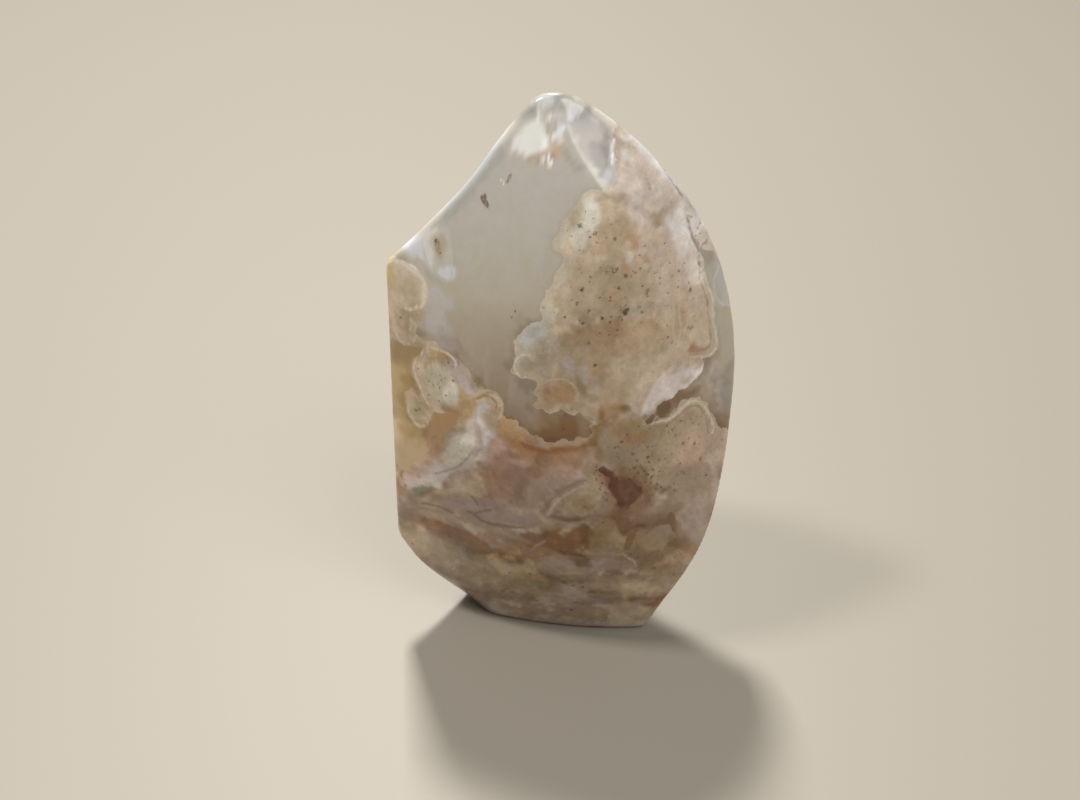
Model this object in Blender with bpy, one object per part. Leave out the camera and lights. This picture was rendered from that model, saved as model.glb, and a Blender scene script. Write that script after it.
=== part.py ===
"""Sakura agate carving: one polished stone, ground to a leaning flame shape that stands on a flat cut base.

The design is in millimetres, and the model in metres. X runs to the right, Y to the back and Z up. The stone
is the space inside a few gently curved ground faces: the broad front, whose right part turns away behind a
soft ridge, four walls that lean in behind the front's outline, two back faces, and the cut base. A sphere is
cast out onto those faces.
"""
import bmesh
import bpy
import numpy as np

NAME = "agate_flame"
COLLECTION = "sakura_agate_carving"
MM = 0.001

# The front's outline, as x and z of the points that its stretches pass through. Stretches meet at corners.
LEFT_EDGE = [(-24.9, 15.0), (-24.5, 25.0), (-24.1, 37.0), (-23.8, 50.0), (-23.8, 59.4)]
TOP_LEFT_EDGE = [(-23.8, 59.4), (-19.0, 64.2), (-13.0, 70.4), (-9.0, 75.4), (-5.4, 79.6)]
TIP = [(-5.4, 79.6), (-4.3, 80.5), (-2.4, 81.1), (-0.2, 81.0), (1.9, 80.2)]
RIGHT_EDGE = [(1.9, 80.2), (6.4, 77.0), (10.4, 73.7), (14.5, 69.4), (17.8, 64.4), (21.0, 57.5), (23.4, 49.0),
              (24.3, 39.8), (24.0, 30.0), (22.5, 21.3), (20.6, 16.0), (18.9, 13.0)]
LOWER_RIGHT = [(18.9, 13.0), (15.4, 7.0), (12.9, 0.0), (11.0, -7.0)]
LOWER_LEFT = [(-17.2, -7.0), (-18.6, 0.0), (-20.9, 7.0), (-22.9, 11.5), (-24.9, 15.0)]
POINTS_PER_SPAN = 6
DRAWN_OUT = 150.0

# The front: how far forward it reaches, at what height, and its radii upward and across.
FRONT_REACH = 15.6
FRONT_LOW = 28.0
FRONT_RADIUS_UP = 82.0
FRONT_RADIUS_ACROSS = 93.0
FRONT_SWING = 0.2

# The foot of the front, below FOOT_TOP, is fuller and turns away less on the right.
FOOT_START = -5.0
FOOT_TOP = 38.0
FOOT_FULLNESS = 2.3

# The ridge where the front's right part turns away. It is crisp near the tip and fades downward.
RIDGE_X = 4.6
RIDGE_TIP_X = -0.6
RIDGE_SWING_HEIGHTS = (69.0, 79.0)
RIDGE_ROUND = 5.0
RIDGE_TIP_ROUND = 0.6
RIDGE_FADE_HEIGHTS = (58.0, 74.0)
RIGHT_SLOPE = 0.35
RIGHT_RADIUS = 25.0
FOOT_SLOPE = 0.02
FOOT_RADIUS = 80.0

# The walls behind the outline: how far each leans in for every millimetre of depth, and their radius.
LEFT_LEAN = 0.40
TOP_LEFT_LEAN = 0.62
RIGHT_LEAN = 0.50
LOWER_LEFT_LEAN = 0.62
WALL_RADIUS = 60.0

# The two back faces, which meet along a ridge that swings from the foot to the tip.
BACK_REACH = 16.5
BACK_LOW = 32.0
BACK_RADIUS_UP = 120.0
BACK_RADIUS_ACROSS = 100.0
BACK_LEFT_SLOPE = 0.34
BACK_RIGHT_SLOPE = 0.30
BACK_RIDGE_FOOT_X = -2.0
BACK_RIDGE_X = -5.5
BACK_RIDGE_TIP_X = -1.0
BACK_RIDGE_LOW_HEIGHTS = (0.0, 40.0)
BACK_RIDGE_HIGH_HEIGHTS = (45.0, 80.0)

# How round the polished edges are. The corner at the lower left is worn rounder.
EDGE_ROUND = 1.3
WORN_ROUND = 9.0
WORN_HEIGHTS = (0.0, 12.0)
WORN_WIDTHS = (-14.0, -4.0)
WALL_ROUND = 0.6
BACK_ROUND = 3.6
BACK_RIDGE_ROUND = 2.6
BASE_ROUND = 0.9

# The sphere that is cast onto the faces, and the solid that is kept of it.
CAST_FROM = np.array([-0.5, 0.0, 37.0])
CAST_SHAPE = np.array([24.0, 16.0, 42.0])
CAST_REACH = 75.0
CAST_STEPS = 30
SPHERE_DETAIL = 7
TRIANGLES = 6400
BASE_CUT = 0.03
SMOOTH_BELOW = np.radians(35.0)

GRID_STEP = 0.5
GRID_X = np.arange(-45.0, 45.1, GRID_STEP)
GRID_Z = np.arange(-40.0, 115.1, GRID_STEP)


def smooth_max(a, b, width):
    """The larger of two values, blended where they are closer than the width."""
    near = np.maximum(width - np.abs(a - b), 0) / width
    return np.maximum(a, b) + near * near * width / 4


def ease(first, last, value, start, end):
    """A smooth change from first to last while value goes from start to end."""
    t = np.clip((value - start) / (end - start), 0, 1)
    return first + (last - first) * t * t * (3 - 2 * t)


def curve_through(points):
    """A smooth curve through the points of one stretch, without its last point."""
    p = np.array(points)
    p = np.vstack([2 * p[0] - p[1], p, 2 * p[-1] - p[-2]])
    t = np.linspace(0, 1, POINTS_PER_SPAN, endpoint=False)[:, None]
    spans = []
    for a, b, c, d in zip(p, p[1:], p[2:], p[3:]):
        spans.append(b + 0.5 * t * (c - a + t * (2 * a - 5 * b + 4 * c - d + t * (3 * b - a - 3 * c + d))))
    return np.vstack(spans)


def distance_grid(*stretches):
    """Distance from a wall's stretches, drawn out past both ends, over the front view, negative inside."""
    x, z = np.meshgrid(GRID_X, GRID_Z)
    line = np.vstack([curve_through(stretch) for stretch in stretches] + [stretches[-1][-1:]])
    start = line[0] + DRAWN_OUT * (line[0] - line[1]) / np.linalg.norm(line[0] - line[1])
    end = line[-1] + DRAWN_OUT * (line[-1] - line[-2]) / np.linalg.norm(line[-1] - line[-2])
    line = np.vstack([start, line, end])
    grid = np.full(x.shape, np.inf)
    for (ax, az), (bx, bz) in zip(line, line[1:]):
        ex, ez = bx - ax, bz - az
        t = np.clip(((x - ax) * ex + (z - az) * ez) / (ex * ex + ez * ez), 0, 1)
        distance = np.hypot(x - ax - t * ex, z - az - t * ez)
        side = np.where(ex * (z - az) - ez * (x - ax) > 0, 1, -1)
        grid = np.where(distance < np.abs(grid), distance * side, grid)
    return grid


def read_grid(grid, x, z):
    """The grid's value at points between its own points."""
    column = np.clip((x - GRID_X[0]) / GRID_STEP, 0, len(GRID_X) - 1.001)
    row = np.clip((z - GRID_Z[0]) / GRID_STEP, 0, len(GRID_Z) - 1.001)
    i, j = column.astype(int), row.astype(int)
    u, v = column - i, row - j
    low = grid[j, i] * (1 - u) + grid[j, i + 1] * u
    high = grid[j + 1, i] * (1 - u) + grid[j + 1, i + 1] * u
    return low * (1 - v) + high * v


def front_y(x, z):
    """Where the front lies over each point of the front view."""
    foot = ease(1, 0, z, FOOT_START, FOOT_TOP)
    rise = (z - FRONT_LOW) ** 2 / (2 * FRONT_RADIUS_UP) - FOOT_FULLNESS * foot - FRONT_REACH
    main = rise - FRONT_SWING * x + x * x / (2 * FRONT_RADIUS_ACROSS)
    ridge = ease(RIDGE_X, RIDGE_TIP_X, z, *RIDGE_SWING_HEIGHTS)
    at_ridge = rise - FRONT_SWING * ridge + ridge * ridge / (2 * FRONT_RADIUS_ACROSS)
    slope = FOOT_SLOPE * foot + RIGHT_SLOPE * (1 - foot)
    bend = foot / (2 * FOOT_RADIUS) + (1 - foot) / (2 * RIGHT_RADIUS)
    turned = at_ridge + slope * (x - ridge) + bend * (x - ridge) ** 2
    return smooth_max(main, turned, ease(RIDGE_ROUND, RIDGE_TIP_ROUND, z, *RIDGE_FADE_HEIGHTS))


def back_y(x, z):
    """Where the back lies over each point of the front view."""
    low_ridge = ease(BACK_RIDGE_FOOT_X, BACK_RIDGE_X, z, *BACK_RIDGE_LOW_HEIGHTS)
    side = x - low_ridge - ease(0, BACK_RIDGE_TIP_X - BACK_RIDGE_X, z, *BACK_RIDGE_HIGH_HEIGHTS)
    reach = BACK_REACH - (z - BACK_LOW) ** 2 / (2 * BACK_RADIUS_UP) - side * side / (2 * BACK_RADIUS_ACROSS)
    return -smooth_max(-reach - BACK_LEFT_SLOPE * side, -reach + BACK_RIGHT_SLOPE * side, BACK_RIDGE_ROUND)


def wall(grid, lean, x, z, depth):
    """How far points lie outside a wall that leans in behind its part of the outline."""
    bulge = np.maximum(depth, 0) ** 2 / (2 * WALL_RADIUS)
    return (read_grid(grid, x, z) - EDGE_ROUND / 4 + lean * depth + bulge) / np.hypot(1, lean)


def outside(points, walls):
    """How far each point lies outside the stone, negative inside it."""
    x, y, z = points[:, 0], points[:, 1], points[:, 2]
    depth = y - front_y(x, z)
    stone = np.full(len(points), -np.inf)
    for grid, lean in walls:
        stone = smooth_max(stone, wall(grid, lean, x, z, depth), WALL_ROUND)
    worn = ease(1, 0, z, *WORN_HEIGHTS) * ease(1, 0, x, *WORN_WIDTHS)
    stone = smooth_max(stone, -depth, EDGE_ROUND + WORN_ROUND * worn)
    stone = smooth_max(stone, y - back_y(x, z), BACK_ROUND)
    return smooth_max(stone, -z, BASE_ROUND)


def cast_onto_stone(sphere_points):
    """Moves the points of a unit sphere out to the faces of the stone."""
    walls = [
        (distance_grid(LEFT_EDGE), LEFT_LEAN),
        (distance_grid(TOP_LEFT_EDGE), TOP_LEFT_LEAN),
        (distance_grid(TIP, RIGHT_EDGE, LOWER_RIGHT), RIGHT_LEAN),
        (distance_grid(LOWER_LEFT), LOWER_LEFT_LEAN),
    ]
    rays = sphere_points * CAST_SHAPE
    rays /= np.linalg.norm(rays, axis=1, keepdims=True)
    near = np.zeros((len(rays), 1))
    far = np.full((len(rays), 1), CAST_REACH)
    for _ in range(CAST_STEPS):
        middle = (near + far) / 2
        within = (outside(CAST_FROM + middle * rays, walls) < 0)[:, None]
        near = np.where(within, middle, near)
        far = np.where(within, far, middle)
    return CAST_FROM + near * rays


def points_of(mesh):
    """The mesh's points, as rows of x, y and z."""
    points = np.empty(3 * len(mesh.vertices))
    mesh.vertices.foreach_get("co", points)
    return points.reshape(-1, 3)


def make_blank():
    """A fine sphere cast onto the faces of the stone, in metres."""
    bpy.ops.mesh.primitive_ico_sphere_add(subdivisions=SPHERE_DETAIL, radius=1.0)
    stone = bpy.context.object
    stone.name = NAME
    stone.data.name = NAME
    cast = cast_onto_stone(points_of(stone.data))
    stone.data.vertices.foreach_set("co", (cast * MM).ravel())
    stone.data.update()
    return stone


def lighten(stone):
    """Brings the stone down to the solid's number of triangles, most of them at the edges."""
    decimate = stone.modifiers.new("fewer triangles", "DECIMATE")
    decimate.ratio = TRIANGLES / len(stone.data.polygons)
    bpy.context.view_layer.objects.active = stone
    bpy.ops.object.modifier_apply(modifier=decimate.name)


def cut_base(stone):
    """Cuts the base to one flat face."""
    mesh = bmesh.new()
    mesh.from_mesh(stone.data)
    everything = mesh.verts[:] + mesh.edges[:] + mesh.faces[:]
    cut = bmesh.ops.bisect_plane(mesh, geom=everything, plane_co=(0, 0, BASE_CUT * MM), plane_no=(0, 0, 1),
                                 clear_inner=True)
    rim = [item for item in cut["geom_cut"] if isinstance(item, bmesh.types.BMEdge)]
    bmesh.ops.contextual_create(mesh, geom=rim)
    bmesh.ops.recalc_face_normals(mesh, faces=mesh.faces[:])
    mesh.to_mesh(stone.data)
    mesh.free()


def set_origin(stone):
    """Brings the origin to the base, under the middle of the stone."""
    points = points_of(stone.data)
    low, high = points.min(axis=0), points.max(axis=0)
    middle = (low + high) / 2
    stone.data.vertices.foreach_set("co", (points - (middle[0], middle[1], low[2])).ravel())
    stone.data.update()


def stone_material():
    """Polished chalcedony, in the stone's average colour."""
    material = bpy.data.materials.new("polished_agate")
    material.use_nodes = True
    shader = material.node_tree.nodes["Principled BSDF"]
    shader.inputs["Base Color"].default_value = (0.56, 0.42, 0.32, 1.0)
    shader.inputs["Roughness"].default_value = 0.16
    shader.inputs["Metallic"].default_value = 0.0
    shader.inputs["IOR"].default_value = 1.54
    return material


def main():
    for item in list(bpy.data.objects):
        bpy.data.objects.remove(item)
    stone = make_blank()
    lighten(stone)
    cut_base(stone)
    set_origin(stone)
    stone.data.shade_smooth()
    stone.data.set_sharp_from_angle(angle=SMOOTH_BELOW)
    stone.data.materials.append(stone_material())
    home = bpy.data.collections.new(COLLECTION)
    bpy.context.scene.collection.children.link(home)
    for collection in list(stone.users_collection):
        collection.objects.unlink(stone)
    home.objects.link(stone)


main()
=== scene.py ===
"""Sakura agate carving: the looks of one polished stone, on a plain pale floor in soft light.

The stone is cast again, as a fine mesh, onto the same ground faces as the frame's solid. What it shows is
painted on that mesh in code: soft patches of colour, clear grey chalcedony with a ragged edge, pale and dark
veins, and specks. The places of the markings in front were read from the photograph, in pixels of its
1080 by 800 frame, and are carried onto the stone along its lines of sight. The back has markings of its own.
Shapes are in millimetres and are turned to metres at the end.
"""
from itertools import product

import bmesh
import bpy
import numpy as np
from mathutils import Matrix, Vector

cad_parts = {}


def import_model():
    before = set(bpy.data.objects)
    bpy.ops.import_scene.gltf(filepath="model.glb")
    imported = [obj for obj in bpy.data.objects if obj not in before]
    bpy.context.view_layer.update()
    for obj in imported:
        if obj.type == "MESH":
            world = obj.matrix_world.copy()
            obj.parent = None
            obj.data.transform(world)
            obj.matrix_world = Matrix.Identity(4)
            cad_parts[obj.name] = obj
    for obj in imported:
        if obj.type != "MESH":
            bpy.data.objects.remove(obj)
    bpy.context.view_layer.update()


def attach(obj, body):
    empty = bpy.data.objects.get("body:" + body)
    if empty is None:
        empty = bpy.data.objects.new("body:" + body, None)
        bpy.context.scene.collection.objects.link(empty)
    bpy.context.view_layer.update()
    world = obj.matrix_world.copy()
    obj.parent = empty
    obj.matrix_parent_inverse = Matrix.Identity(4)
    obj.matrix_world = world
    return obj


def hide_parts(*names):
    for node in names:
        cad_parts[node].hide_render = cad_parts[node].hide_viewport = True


NAME = "agate_stone"
MM = 0.001

# The front's outline, as x and z of the points that its stretches pass through. Stretches meet at corners.
LEFT_EDGE = [(-24.9, 15.0), (-24.5, 25.0), (-24.1, 37.0), (-23.8, 50.0), (-23.8, 59.4)]
TOP_LEFT_EDGE = [(-23.8, 59.4), (-19.0, 64.2), (-13.0, 70.4), (-9.0, 75.4), (-5.4, 79.6)]
TIP = [(-5.4, 79.6), (-4.3, 80.5), (-2.4, 81.1), (-0.2, 81.0), (1.9, 80.2)]
RIGHT_EDGE = [(1.9, 80.2), (6.4, 77.0), (10.4, 73.7), (14.5, 69.4), (17.8, 64.4), (21.0, 57.5), (23.4, 49.0),
              (24.3, 39.8), (24.0, 30.0), (22.5, 21.3), (20.6, 16.0), (18.9, 13.0)]
LOWER_RIGHT = [(18.9, 13.0), (15.4, 7.0), (12.9, 0.0), (11.0, -7.0)]
LOWER_LEFT = [(-17.2, -7.0), (-18.6, 0.0), (-20.9, 7.0), (-22.9, 11.5), (-24.9, 15.0)]
POINTS_PER_SPAN = 6
DRAWN_OUT = 150.0

# The front: how far forward it reaches, at what height, and its radii upward and across.
FRONT_REACH = 15.6
FRONT_LOW = 28.0
FRONT_RADIUS_UP = 82.0
FRONT_RADIUS_ACROSS = 93.0
FRONT_SWING = 0.2

# The foot of the front, below FOOT_TOP, is fuller and turns away less on the right.
FOOT_START = -5.0
FOOT_TOP = 38.0
FOOT_FULLNESS = 2.3

# The ridge where the front's right part turns away. It is crisp near the tip and fades downward.
RIDGE_X = 4.6
RIDGE_TIP_X = -0.6
RIDGE_SWING_HEIGHTS = (69.0, 79.0)
RIDGE_ROUND = 5.0
RIDGE_TIP_ROUND = 0.6
RIDGE_FADE_HEIGHTS = (58.0, 74.0)
RIGHT_SLOPE = 0.35
RIGHT_RADIUS = 25.0
FOOT_SLOPE = 0.02
FOOT_RADIUS = 80.0

# The walls behind the outline: how far each leans in for every millimetre of depth, and their radius.
LEFT_LEAN = 0.40
TOP_LEFT_LEAN = 0.62
RIGHT_LEAN = 0.50
LOWER_LEFT_LEAN = 0.62
WALL_RADIUS = 60.0

# The two back faces, which meet along a ridge that swings from the foot to the tip.
BACK_REACH = 16.5
BACK_LOW = 32.0
BACK_RADIUS_UP = 120.0
BACK_RADIUS_ACROSS = 100.0
BACK_LEFT_SLOPE = 0.34
BACK_RIGHT_SLOPE = 0.30
BACK_RIDGE_FOOT_X = -2.0
BACK_RIDGE_X = -5.5
BACK_RIDGE_TIP_X = -1.0
BACK_RIDGE_LOW_HEIGHTS = (0.0, 40.0)
BACK_RIDGE_HIGH_HEIGHTS = (45.0, 80.0)

# How round the polished edges are. The corner at the lower left is worn rounder.
EDGE_ROUND = 1.3
WORN_ROUND = 9.0
WORN_HEIGHTS = (0.0, 12.0)
WORN_WIDTHS = (-14.0, -4.0)
WALL_ROUND = 0.6
BACK_ROUND = 3.6
BACK_RIDGE_ROUND = 2.6
BASE_ROUND = 0.9

# The sphere that is cast onto the faces, and the solid that is kept of it.
CAST_FROM = np.array([-0.5, 0.0, 37.0])
CAST_SHAPE = np.array([24.0, 16.0, 42.0])
CAST_REACH = 75.0
CAST_STEPS = 30
BASE_CUT = 0.03

# The grid over the front view that holds the distance from each wall's outline. It is read up to GRID_END
# short of its size, just before its last points.
GRID_STEP = 0.5
GRID_X = np.arange(-45.0, 45.1, GRID_STEP)
GRID_Z = np.arange(-40.0, 115.1, GRID_STEP)
GRID_END = 1.001

# What brings the design's origin to the frame's, under the middle of the stone.
SHIFT = (-0.27644, -0.14952, 0.03)

# The photograph's camera as it stands to the stone: focal length in pixels, tilt down, and place. The foot of
# the stone's axis lies AXIS_DEPTH millimetres in front of it and AXIS_DROP below its line of sight.
FRAME_WIDTH = 1080
FRAME_MIDDLE = (540.0, 400.0)
FOCAL_PX = 1150.0
TILT = np.radians(38.0)
AXIS_DEPTH = 188.7
AXIS_DROP = 27.7
CAMERA_X = -3.45
FORWARD = np.array([0, np.cos(TILT), -np.sin(TILT)])
DOWN = np.array([0, -np.sin(TILT), -np.cos(TILT)])
CAMERA = np.array([CAMERA_X, 0, 0]) - AXIS_DEPTH * FORWARD - AXIS_DROP * DOWN
SENSOR_WIDTH = 36.0
CLIP_START = 0.01

# The fine mesh: how many cells it has across, deep and up, how much denser it is in front, and the length
# below which an edge of its box doesn't count as running along an axis.
CELLS = (136, 68, 196)
FRONT_DENSER = 0.25
NO_LENGTH = 1e-6

# Clouds of noise over the stone: size of the largest swellings in millimetres, seed, octaves, and how much
# weaker each octave is than the one before.
SWAY_CLOUDS = [(3.2, 11, 3, 0.5), (3.2, 23, 3, 0.5)]
ROUGH_CLOUD = (2.6, 29, 3, 0.8)
DRIFT_CLOUDS = [(9.0, 37, 3, 0.5), (9.0, 41, 3, 0.5)]
HEIGHT_CLOUD = (9.0, 53, 3, 0.5)
TURN_CLOUD = (9.0, 61, 3, 0.5)
MOTTLE_CLOUD = (3.0, 71, 5, 0.75)
WARP_CLOUD = (7.0, 83, 4, 0.5)
SWIRL_CLOUD = (7.0, 89, 4, 0.5)
LAYER_CLOUD = (3.0, 97, 4, 0.5)
WISP_CLOUD = (5.0, 101, 3, 0.5)

# What mixes the place of a cell of noise and a seed to one number of the cell's own.
HASH_AXES = (374761393, 668265263, 2147483647)
HASH_MIX = 1274126177
HASH_SHIFT = 13
HASH_FOLD = 16
HASH_TOP = 0xFFFF

# How the markings are drawn. Reaches, depths, sways and widths are in pixels of the photograph.
OUTLINE_STEPS = 3
EDGE_REACH = 16.0
LINE_REACH = 5.0
LINE_TAPER = 10
SWAY = 5.0
SWAY_LEAST = 0.25
SWAY_FULL = 10.0
ROUGHNESS = 2.6
ROUGH_LEAST = 0.6
ROUGHEST = 3.6
HEIGHT_SWAY = 14.0

# How the front's markings drift and turn into the back's, by the share of the depth behind the front.
DRIFT = 60.0
DRIFT_SHARES = (0.15, 0.6)
TURN_SWAY = 0.12
TURN_SHARES = (0.35, 0.7)

# Mottling of the colours, and pale upright wisps in the clear zones.
BLOSSOM_MOTTLE = 0.42
CLEAR_MOTTLE = 0.05
MOTTLE_TINT = np.array([0.85, 1.0, 1.2])
WISP_STRETCH = np.array([2.2, 2.2, 0.25])
WISP_STRENGTH = 0.5
SCREEN_GAMMA = 2.2

# Marbling of the lower stone: swirls above, and layers that fall to the right at the foot. Heights are where
# each starts and ends in the photograph's frame.
SWIRL_STRETCH = np.array([0.8, 0.8, 1.3])
SWIRL_WARP = 0.5
SWIRL_HEIGHTS = ((425, 455), (510, 545))
SWIRL_COLOURS = [
    ("rust", -0.6), ("red brown", -0.32), ("mauve tan", -0.1), ("marble", 0.15), ("pale tan", 0.45)]
LAYER_FALL = 0.4
LAYER_WARP = 2.6
LAYER_STRETCH = 0.18
LAYER_HEIGHTS = ((490, 525), (900, 901))
LAYER_COLOURS = [
    ("low brown", -0.36), ("low tan", -0.14), ("low cream", 0.02), ("low lilac", 0.14), ("pale tan", 0.32)]

# The stone's colours in even light, as red, green and blue in hexadecimal. Some stand for light and shade
# instead: the white glint is a painted highlight, the pale blue of the edges is partly a painted highlight,
# and the darker pink and the darkened grey of the tip are painted shade.
PALETTE = {
    "white": "edeee9", "ice white": "f0f3f5", "blue white": "dee1e6", "lavender": "cbc9ca",
    "lilac": "bfb4b2", "tip grey in painted shade": "9d9994", "grey high": "c4c0b8", "grey": "c2baa8", "grey low": "b2a592",
    "grey brown": "a08d76", "grey dark": "857f78", "gap brown": "896a4c", "brown": "8f7254",
    "dark brown": "6f523a", "line brown": "a08468", "cream": "e0dacb", "milk": "e9e6da",
    "pale green": "cdc8b6", "olive tan": "ab987f", "olive": "8b7b5c", "tan": "b49d81", "pale tan": "c2af96",
    "orange tan": "b58f66", "orange": "bd8552", "rust": "9c6a44", "sand": "d2c0a8", "pink sand": "d6c3b2",
    "pink": "d6cabf", "pale pink": "f0e8e2", "deep pink": "c4a392", "white lobe": "ebe3e4",
    "band brown": "b9a088", "ring tan": "cbbda6", "yellow": "cfc086", "ochre": "baa076",
    "pale ochre": "d8c09c", "speckle cream": "c6bea8", "ragged white": "c0b4aa", "violet": "95868c",
    "green cream": "9e8c72", "blossom tan": "b4a086", "pale cream": "cdc9bd", "warm cream": "cfbda9",
    "red": "724830", "mauve lilac": "a38b79", "border tan": "a89686", "red brown": "927460",
    "mauve": "977768", "mauve tan": "a08876", "marble": "c0afa4", "low lilac": "b1a096",
    "dull lilac": "9b887f", "low tan": "9a8672", "low cream": "ab987f", "dull brown": "77645c",
    "streak red": "966f56", "streak brown": "8a6b4c", "low brown": "785639", "foot": "a9957a",
    "foot brown": "8f7a61", "dark green": "68654c", "blue and edge sheen": "c6c9cc", "tip blue": "b0b3ba",
    "painted shade pink": "b0a59b", "glint": "ffffff",
}

# What the ground colours are at heights of the photograph's frame, from the top down.
BLOSSOM_GROUND = [
    ("pink sand", 150), ("sand", 290), ("pale tan", 400), ("mauve tan", 470), ("low tan", 560),
    ("foot", 625)]
CLEAR_GROUND = [
    ("grey high", 130), ("grey high", 190), ("grey", 290), ("grey low", 345), ("grey brown", 400),
    ("gap brown", 432), ("brown", 520)]

# The clear zones, as outlines in pixels of the photograph.
MAIN_WINDOW = [
    (617, 165), (614, 178), (606, 190), (596, 190), (585, 193), (578, 199), (573, 210), (566, 220),
    (558, 230), (553, 240), (557, 250), (563, 259), (558, 272), (552, 280), (545, 290), (543, 300),
    (541, 310), (540, 322), (530, 323), (524, 330), (518, 338), (512, 343), (515, 352), (514, 362),
    (514, 372), (518, 377), (524, 380), (530, 379), (536, 381), (536, 390), (538, 398), (534, 406),
    (541, 410), (550, 414), (556, 411), (563, 411), (572, 413), (579, 412), (586, 416), (592, 421),
    (587, 424), (585, 428), (590, 431), (587, 436), (583, 438), (577, 439), (568, 442), (560, 441),
    (548, 443), (540, 438), (533, 434), (527, 433), (520, 428), (517, 420), (508, 417), (500, 413),
    (501, 405), (498, 396), (490, 392), (480, 388), (472, 377), (466, 367), (456, 358), (446, 351),
    (436, 345), (427, 342), (418, 334), (417, 325), (424, 314), (427, 303), (427, 290), (425, 281),
    (418, 271), (409, 264), (400, 258), (385, 252), (385, 235), (405, 215), (440, 180), (480, 140),
    (500, 110), (530, 80), (570, 80), (600, 100), (616, 125), (612, 140), (614, 152)]
RIGHT_WINDOW = [
    (700, 248), (709, 250), (720, 262), (740, 300), (745, 350), (745, 400), (738, 430), (724, 430),
    (716, 420), (710, 408), (704, 401), (696, 398), (688, 399), (681, 405), (675, 411), (667, 416),
    (658, 418), (648, 423), (651, 415), (658, 407), (665, 402), (672, 396), (680, 391), (688, 385),
    (696, 378), (703, 372), (706, 366), (703, 361), (692, 359), (705, 358), (714, 352), (718, 345),
    (717, 330), (714, 315), (713, 300), (708, 285), (705, 272), (704, 262)]
LEFT_WINDOW = [
    (378, 340), (398, 344), (412, 348), (422, 350), (414, 360), (411, 372), (413, 384), (408, 390),
    (405, 402), (408, 414), (415, 424), (424, 429), (431, 422), (434, 414), (446, 413), (463, 413),
    (457, 424), (446, 432), (435, 436), (429, 446), (426, 458), (414, 466), (400, 474), (378, 476)]
RED_POOL = [
    (600, 469), (610, 472), (620, 479), (632, 481), (639, 486), (640, 495), (634, 504), (625, 512),
    (614, 518), (611, 510), (617, 500), (610, 490), (608, 481)]
BROWN_HOOK = [
    (625, 545), (627, 537), (631, 531), (638, 529), (634, 537), (630, 543), (632, 552), (637, 557),
    (629, 554)]
BROWN_CORNER = [
    (649, 528), (656, 522), (665, 520), (670, 513), (676, 519), (683, 530), (683, 543), (676, 548),
    (666, 546), (674, 536), (670, 527), (660, 524)]
WINDOWS = [MAIN_WINDOW, RIGHT_WINDOW, LEFT_WINDOW, RED_POOL, BROWN_HOOK, BROWN_CORNER]

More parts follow.
